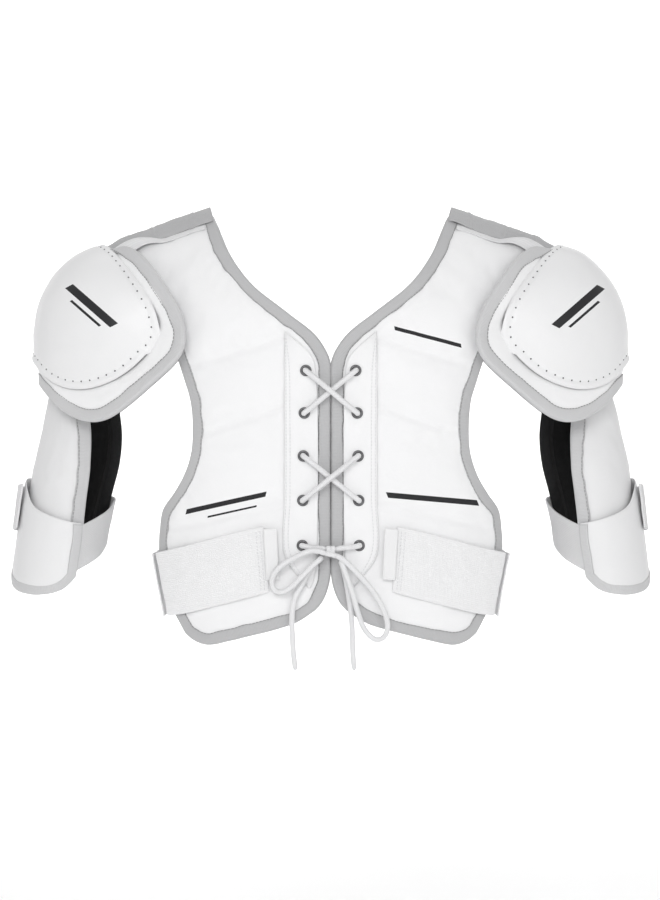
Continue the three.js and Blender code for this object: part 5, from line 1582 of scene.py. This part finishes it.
# ---- arm guards --------------------------------------------------------------------------------------
def arm_point(deg, z, lift=0.0):
    deg, z = np.broadcast_arrays(np.asarray(deg, float), np.asarray(z, float))
    az = np.array(ARM_Z)[::-1]

    def tab(v):
        c = curve(np.stack([ARM_Z, v], -1), 200)[::-1]
        return np.interp(z, c[:, 0], c[:, 1])

    def ext(v):
        v = np.array(v, float)
        inside = tab(v)
        lo_slope = (v[-1] - v[-2]) / (ARM_Z[-1] - ARM_Z[-2])
        hi_slope = (v[1] - v[0]) / (ARM_Z[1] - ARM_Z[0])
        out = np.where(z < ARM_Z[-1], v[-1] + lo_slope * (z - ARM_Z[-1]), inside)
        return np.where(z > ARM_Z[0], v[0] + hi_slope * (z - ARM_Z[0]), out)

    out, inn, b = ext(ARM_OUT), ext(ARM_IN), ext(ARM_HALF_DEPTH)
    a = (inn - out) / (1 - math.cos(math.radians(ARM_REAR)))
    cx = out + a
    q = np.radians(deg)
    nx, ny = -np.cos(q) / a, -np.sin(q) / b
    l = np.hypot(nx, ny)
    return onto(cx - a * np.cos(q) + lift * nx / l, z, -b * np.sin(q) + lift * ny / l)


def arm_grid(angles, tops, bottoms, n_rows):
    """Rows down the arm (n_rows), columns round it. tops and bottoms are the heights of its two edges by column."""
    t = np.linspace(0, 1, n_rows)[:, None]
    Z = np.asarray(tops)[None, :] * (1 - t) + np.asarray(bottoms)[None, :] * t
    A = np.broadcast_to(np.asarray(angles)[None, :], Z.shape)
    lean = np.interp(Z, [-270.4, -254.6, -208.2, -165.4, -136.5], [15, 13, 6, -3, -5])
    A = A + lean * smooth01((A - 20) / 75)
    P = arm_point(A, Z)
    N = unit(arm_point(A, Z, 1.0) - P)
    return A, Z, P, N


n_a, n_z = ((96, 76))
angles = np.linspace(ARM_FRONT, ARM_REAR, n_a)
AA, AZ, arm_P, arm_N = arm_grid(angles, np.full(n_a, ARM_Z[0]), np.full(n_a, ARM_Z[-1]), n_z)
arm_edge = np.full(arm_P.shape[:2], 1e9)
for E in (arm_P[:, 0], arm_P[:, -1], arm_P[-1]):
    arm_edge = np.minimum(arm_edge, np.sqrt(((arm_P[:, :, None, :] - E[None, None, ::2]) ** 2).sum(-1)).min(-1))
arm_weave = np.stack([np.broadcast_to(arclen(arm_P[n_z // 2])[None, :], arm_P.shape[:2]), AZ], -1)
lobe_ang = np.linspace(92.0, LOBE_ANGLES[-1], 80)
lt = curve(np.stack([LOBE_ANGLES, LOBE_TOP], -1), 400)
lb = curve(np.stack([LOBE_ANGLES, LOBE_BOTTOM], -1), 400)
lobe_top = np.interp(-lobe_ang, -lt[:, 0], lt[:, 1])
lobe_bottom = np.interp(-lobe_ang, -lb[:, 0], lb[:, 1])
LOBE_LIFT = 2 * (GAP + TAPE) - 0.1
for side in ("right", "left"):
    body = f"{side}_arm"
    n1, n2 = Noise(161 + 3 * (side == "left"), 60, 3), Noise(162 + 3 * (side == "left"), 20, 2)
    # long soft folds that run down the guard, and a slight crown between its bound edges
    stretch = arm_P * np.array([1, 1, 0.35])
    lift = 0.9 * puff(arm_edge - 8, 12) + (0.5 * n1(stretch) + 0.12 * n2(arm_P)) * smooth01((arm_edge - 7) / 12) - 0.8 * np.exp(-arm_edge / 2.5)
    low_z = smooth01((AZ - (ARM_Z[-1] + 40)) / 25)
    lift = np.minimum(lift, 0.4 + 2.0 * low_z)
    top = arm_P + arm_N * lift[..., None]
    low = arm_P + arm_N * (-ARM_FOAM + 0.9 * np.exp(-arm_edge / 3.0))[..., None]
    ob = slab(f"{side}_arm_guard", sided(top, side), sided(low, side), weave=arm_weave, rim=3, bulge=0.3)
    put(ob, body, "arm_skin", "arm_skin", f"{side}_arm_pad", padded=0.6)
    inner_h = -ARM_FOAM - GAP - 0.1 + 0 * arm_edge
    sag = 0.35 * n2(arm_P + 30) * smooth01((arm_edge - 5) / 8)
    keep = slice(1, -1)
    A2, B2 = arm_P + arm_N * inner_h[..., None], arm_P + arm_N * (inner_h - 0.9 - np.maximum(0, sag + 0.2))[..., None]
    ob = slab(f"{side}_arm_lining", sided(A2[:-2, 1:-1], side), sided(B2[:-2, 1:-1], side), weave=arm_weave[:-2, 1:-1], rim=2)
    put(ob, body, "lining", "dark_lining", f"{side}_arm_liner")
    # binding down the front edge, along the bottom and up the rear edge
    idx = [(r, 0) for r in range(n_z - 1)] + [(n_z - 1, c) for c in range(n_a)] + [(r, n_a - 1) for r in range(n_z - 2, -1, -1)]
    er, ec = np.array([i[0] for i in idx]), np.array([i[1] for i in idx])
    E, N = arm_P[er, ec], arm_N[er, ec]
    T = unit(np.gradient(E, axis=0))
    I = np.cross(N, T)
    if I[len(I) // 2] @ (arm_P[n_z // 2, n_a // 2] - E[len(I) // 2]) < 0:
        I = -I
    split = n_z + n_a - 6
    for part, cut, look, slot_name, wide in (("edge", slice(0, split + 1), "binding_light", "binding_tape", 10.4),
        ("rear", slice(split, None), "lining", "dark_lining", 7.0)):
        tape, info = bound_edge(f"{side}_arm_{part}_tape", sided(E[cut], side), sided(N[cut], side), sided(I[cut], side), -0.75, -ARM_FOAM - GAP - LINER + 0.1, width=wide, seed=171 + 3 * (side == "left"), wave=0.12)
        put(tape, body, look, slot_name, *([f"{side}_arm_binding"] if part == "edge" else []))
        if part == "edge":
            # stitches in dark thread: painted shadow along the arm binding's inner edge
            put(tape_stitches(f"{side}_arm_edge_stitches", info), body, "thread_painted_edge_shadow", "binding_tape")
            # white welt along the tape's fold on the open side
            put(tube(f"{side}_arm_edge_welt", (info[0] - info[2] * 2.0 - info[1] * 6.0)[3:-60], 0.55, 8), body, "thread_white", "binding_tape")
    # lobe over the lower outer side
    LA, LZ, lobe_P, lobe_N = arm_grid(lobe_ang, lobe_top, lobe_bottom, 60)
    le = np.full(lobe_P.shape[:2], 1e9)
    for Eg in (lobe_P[:, 0], lobe_P[:, -1], lobe_P[-1], lobe_P[0]):
        le = np.minimum(le, np.sqrt(((lobe_P[:, :, None, :] - Eg[None, None, ::2]) ** 2).sum(-1)).min(-1))
    h = LOBE_LIFT + LOBE - 0.4 + 1.1 * puff(le - 4, 10) + 0.25 * n1(lobe_P) * smooth01((le - 4) / 8) - 1.2 * np.exp(-le / 2.0)
    h = np.minimum(h, LOBE_LIFT + LOBE + 0.5)
    lw = np.stack([np.broadcast_to(arclen(lobe_P[10])[None, :], lobe_P.shape[:2]), LZ], -1)
    ob = slab(f"{side}_arm_lobe_pad", sided(lobe_P + lobe_N * h[..., None], side), sided(lobe_P + lobe_N * (LOBE_LIFT + 0.3 + 0.5 * np.exp(-le / 2.0))[..., None], side), weave=lw, rim=3)
    put(ob, body, "lobe_skin", "arm_skin", f"{side}_arm_lobe", padded=0.5)
    Rl, Cl = lobe_P.shape[:2]
    idx = [(r, 0) for r in range(1, Rl - 1)] + [(Rl - 1, c) for c in range(Cl)] + [(r, Cl - 1) for r in range(Rl - 2, Rl // 3, -1)]
    er, ec = np.array([i[0] for i in idx]), np.array([i[1] for i in idx])
    E, N = lobe_P[er, ec], lobe_N[er, ec]
    T = unit(np.gradient(E, axis=0))
    I = np.cross(N, T)
    if I[len(I) // 2] @ (lobe_P[Rl // 2, Cl // 2] - E[len(I) // 2]) < 0:
        I = -I
    tape, info = bound_edge(f"{side}_arm_lobe_edge_tape", sided(E, side), sided(N, side), sided(I, side), LOBE_LIFT + LOBE - 1.2, LOBE_LIFT + 0.5, width=7.2, seed=181 + 3 * (side == "left"), reach=1.6, thick=1.0, wave=0.12)
    put(tape, body, "binding_light", "binding_tape", f"{side}_arm_lobe_binding")
    # elastic strap round the rear and across the open inner side
    base = LOBE_LIFT + LOBE + 0.4 + TAPE + 1.3
    sa = [20, -6, -34, -60, -86, -112, -136, -152]
    hi, lo_ = [-220.5, -222.2, -224, -225.8, -227.5, -229.2, -231, -232.8], [-259, -259.9, -260.8, -262.5, -264.2, -266, -267.8, -270.4]
    ka = np.linspace(0, 1, 24)
    near = [0, 0, 0.1, 0.7, 3.6, 6.2, 7.0, 7.0]
    cols = [arm_point(d, hi[i] * (1 - ka) + lo_[i] * ka, base - near[i]) for i, d in enumerate(sa)]
    start, end = cols[-1], arm_point(106.0, -257.2 * (1 - ka) + -296.6 * ka, 1.6)
    for i in range(1, 5):
        p = start * (1 - i / 4) + end * (i / 4)
        p[:, 0] += math.sin(math.pi * i / 4) * 7
        cols.append(p)
    G = np.array(cols)
    G = np.stack([curve(G[:, k], 110) for k in range(G.shape[1])], 1)
    for _ in range(3):
        G[1:-1] = (G[:-2] + 2 * G[1:-1] + G[2:]) / 4
    Ns = grid_normals(G, (0, 0, 0))
    if Ns[10, 5, 0] > 0:
        Ns = -Ns
    s_, w_ = arclen(G[:, G.shape[1] // 2])[:, None], arclen(G[len(G) // 2])[None, :]
    at = np.stack(np.broadcast_arrays(s_, w_), -1)
    wob = 0.25 * n1(at)
    ob = slab(f"{side}_arm_strap_web", sided(G + Ns * (STRAP * 0.85 + wob)[..., None], side), sided(G + Ns * wob[..., None], side), weave=at, rim=3)
    put(ob, body, "elastic_arm", "elastic", f"{side}_arm_strap")
    # short curved hanger under the cap
    ha = np.linspace(75, -75, 40)
    HA, HZ, hp, hn = arm_grid(ha, np.full(40, -122.5), np.full(40, -147), 16)
    hh = -ARM_FOAM - GAP - LINER - 3
    hw = np.stack([np.broadcast_to(arclen(hp[8])[None, :], hp.shape[:2]), HZ], -1)
    ob = slab(f"{side}_arm_hanger_web", sided(hp + hn * hh, side), sided(hp + hn * (hh - 1.6), side), weave=hw, rim=2)
    put(ob, f"{side}_arm_hanger", "elastic", "elastic", f"{side}_arm_hanger")


# ---- materials on the pieces --------------------------------------------------------------------------
WHITE, SHADE = (0.90, 0.90, 0.905), (0.82, 0.82, 0.83)
right_bars = [([(-91.7, -237.1)][0], 12.5, 36, 2.1, 0.5, INK), ([(-86.4, -244.6)][0], 12.5, 22, 0.8, 0.5, INK)]
left_bars = [([(-84.7, -91.9)][0], 15, 30, 1.6, 0.5, INK), ([(-89, -233.6)][0], 5, 40, 2.4, 0.5, INK)]
looks = {
    "cover_right_chest": cloth("cover_right_chest", WHITE, SHADE, 0.62, "plain", 1.1, 0.00010, bars=right_bars),
    "cover_left_chest": cloth("cover_left_chest", WHITE, SHADE, 0.62, "plain", 1.1, 0.00010, bars=left_bars),
    "cover_plain": cloth("cover_plain", WHITE, SHADE, 0.6, "plain", 1.1, 0.00010),
    "liner": cloth("liner_knit", (0.70, 0.70, 0.71), (0.55, 0.55, 0.57), 0.9, "knit", 1.6, 0.00022, sheen=0.4),
    "binding": cloth("binding_grosgrain", (0.53, 0.53, 0.535),
        (0.43, 0.43, 0.44), 0.72, "rib_u", 1.3, 0.00016, sheen=0.25),
    "binding_flat": cloth("shoulder_grosgrain", (0.50, 0.50, 0.505),
        (0.40, 0.40, 0.41), 0.72, "rib_v", 1.3, 0.00016, sheen=0.25, wrinkle=0.002),
    "binding_light": cloth("arm_grosgrain", (0.64, 0.64, 0.645),
        (0.53, 0.53, 0.54), 0.72, "rib_u", 1.3, 0.00016, sheen=0.25),
    # dark grey stitch thread: painted shadow along the tapes' inner edges
    "thread_painted_edge_shadow": cloth("thread_painted_edge_shadow", (0.30, 0.30, 0.305), (0.2, 0.2, 0.2), 0.6, "braid", 0.5, 0.00006),
    "thread_white": cloth("thread_white", (0.82, 0.82, 0.83), (0.62, 0.62, 0.64), 0.55, "braid", 0.5, 0.00006),
    # near-black colour for the cap's stitch eyes: painted shade of the holes
    "painted_hole_shade": cloth("painted_hole_shade", (0.10, 0.10, 0.105), (0.05, 0.05, 0.05), 0.6, "braid", 0.5, 0.00006),
    "elastic": cloth("elastic_narrow", (0.84, 0.84, 0.845), (0.68, 0.68, 0.69), 0.75, "rib_v", 1.5, 0.00018),
    "elastic_wide": cloth("elastic_wide", (0.86, 0.86, 0.865), (0.77, 0.77, 0.78), 0.78, "rib_v", 1.7, 0.00016),
    "elastic_arm": cloth("elastic_arm", (0.80, 0.80, 0.805), (0.68, 0.68, 0.69), 0.78, "rib_v", 1.7, 0.00016),
    "elastic_dark": cloth("elastic_gore", (0.80, 0.80, 0.805), (0.66, 0.66, 0.67), 0.85, "rib_v", 2.0, 0.0003),
    "tab": skin("tab_moulded", (0.80, 0.80, 0.805), (0.7, 0.7, 0.71), 0.5, grain=0.8),
    "cap_right": skin("cap_skin_right", (0.82, 0.82, 0.825),
        (0.75, 0.75, 0.76), 0.36, bars=[([(-208.9, -64.8)][0], -41, 26, 3.6, 0.4, INK),
        ([(-214.2, -71.3)][0], -41, 17, 1.1, 0.4, INK)], coat=0.1),
    "cap_left": skin("cap_skin_left", (0.82, 0.82, 0.825),
        (0.75, 0.75, 0.76), 0.36, bars=[([(-215.9, -65.6)][0], -41, 26, 3.6, 0.4, INK),
        ([(-221.2, -72.2)][0], -41, 17, 1.1, 0.4, INK)], coat=0.1),
    "flap": skin("flap_skin", (0.86, 0.86, 0.865), (0.79, 0.79, 0.80), 0.44),
    "arm_skin": skin("arm_skin", (0.77, 0.77, 0.775), (0.68, 0.68, 0.69), 0.42),
    "lobe_skin": skin("lobe_skin", (0.79, 0.79, 0.795), (0.71, 0.71, 0.72), 0.42),
    "lining": cloth("lining_black", (0.012, 0.012, 0.013),
        (0.004, 0.004, 0.004), 0.95, "knit", 1.4, 0.00025, sheen=0.08),
    "eyelet": metal("eyelet_gunmetal", (0.17, 0.17, 0.175)),
    "lace": cloth("lace_braid", (0.88, 0.88, 0.885), (0.62, 0.62, 0.64), 0.75, "braid", 2.2, 0.00025, sheen=0.2),
}
looks["cover_right_back"] = looks["cover_left_back"] = looks["cover_plain"]
for ob in list(bpy.context.scene.objects):
    if ob.type == "MESH" and "look" in ob:
        ob.data.materials.clear()
        ob.data.materials.append(looks[ob["look"]])
        del ob["look"]

# ---- floor, light and world ---------------------------------------------------------------------------
FLOOR_Z = -640.0
sweep_pts = [(y, FLOOR_Z) for y in np.linspace(-7000, 5000, 13)]
sweep_pts += [(5000 + 1400 * math.sin(q), FLOOR_Z + 1400 - 1400 * math.cos(q)) for q in np.linspace(0, math.pi / 2, 24)[1:]]
sweep_pts += [(6400.0, 4200.0)]
xs = np.linspace(-7000, 7000, 15)
V = np.array([[x, y, z] for y, z in sweep_pts for x in xs])
floor = make_mesh("pale_floor", V, grid_faces(len(sweep_pts), len(xs)))
floor.data.materials.append(plain_backdrop())
floor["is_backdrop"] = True


def area_light(name, at, aim, size, power, spread=180):
    l = bpy.data.lights.new(name, "AREA")
    l.shape = "RECTANGLE"
    l.size, l.size_y = size
    l.energy = power
    l.spread = math.radians(spread)
    o = bpy.data.objects.new(name, l)
    o.location = at
    o.rotation_mode = "QUATERNION"
    o.rotation_quaternion = (Vector(aim) - Vector(at)).to_track_quat("-Z", "Y")
    bpy.context.scene.collection.objects.link(o)
    return o


area_light("key", (-0.6, -3.2, 1.0), (0, 0, -0.2), (1.5, 1.2), 30)
area_light("fill", (1.2, -3.0, 0.2), (0, 0, -0.2), (1.6, 1.6), 13)
area_light("top", (0, -0.3, 2.4), (0, 0, 0), (2.6, 2.0), 1.2)
area_light("wall_wash", (0, 3.6, 3.4), (0, 6.4, -0.1), (7.0, 1.0), 75, 120)
area_light("floor_wash", (0, 3.2, 3.2), (0, 3.4, -0.64), (9.0, 4.0), 75, 100)
world = bpy.data.worlds.new("studio")
bpy.context.scene.world = world
world.use_nodes = True
bg = world.node_tree.nodes["Background"]
bg.inputs[0].default_value = (1, 1, 1, 1)
bg.inputs[1].default_value = 0.58
bpy.context.scene.view_settings.view_transform = "Standard"
bpy.context.scene.view_settings.look = "None"

low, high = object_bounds()
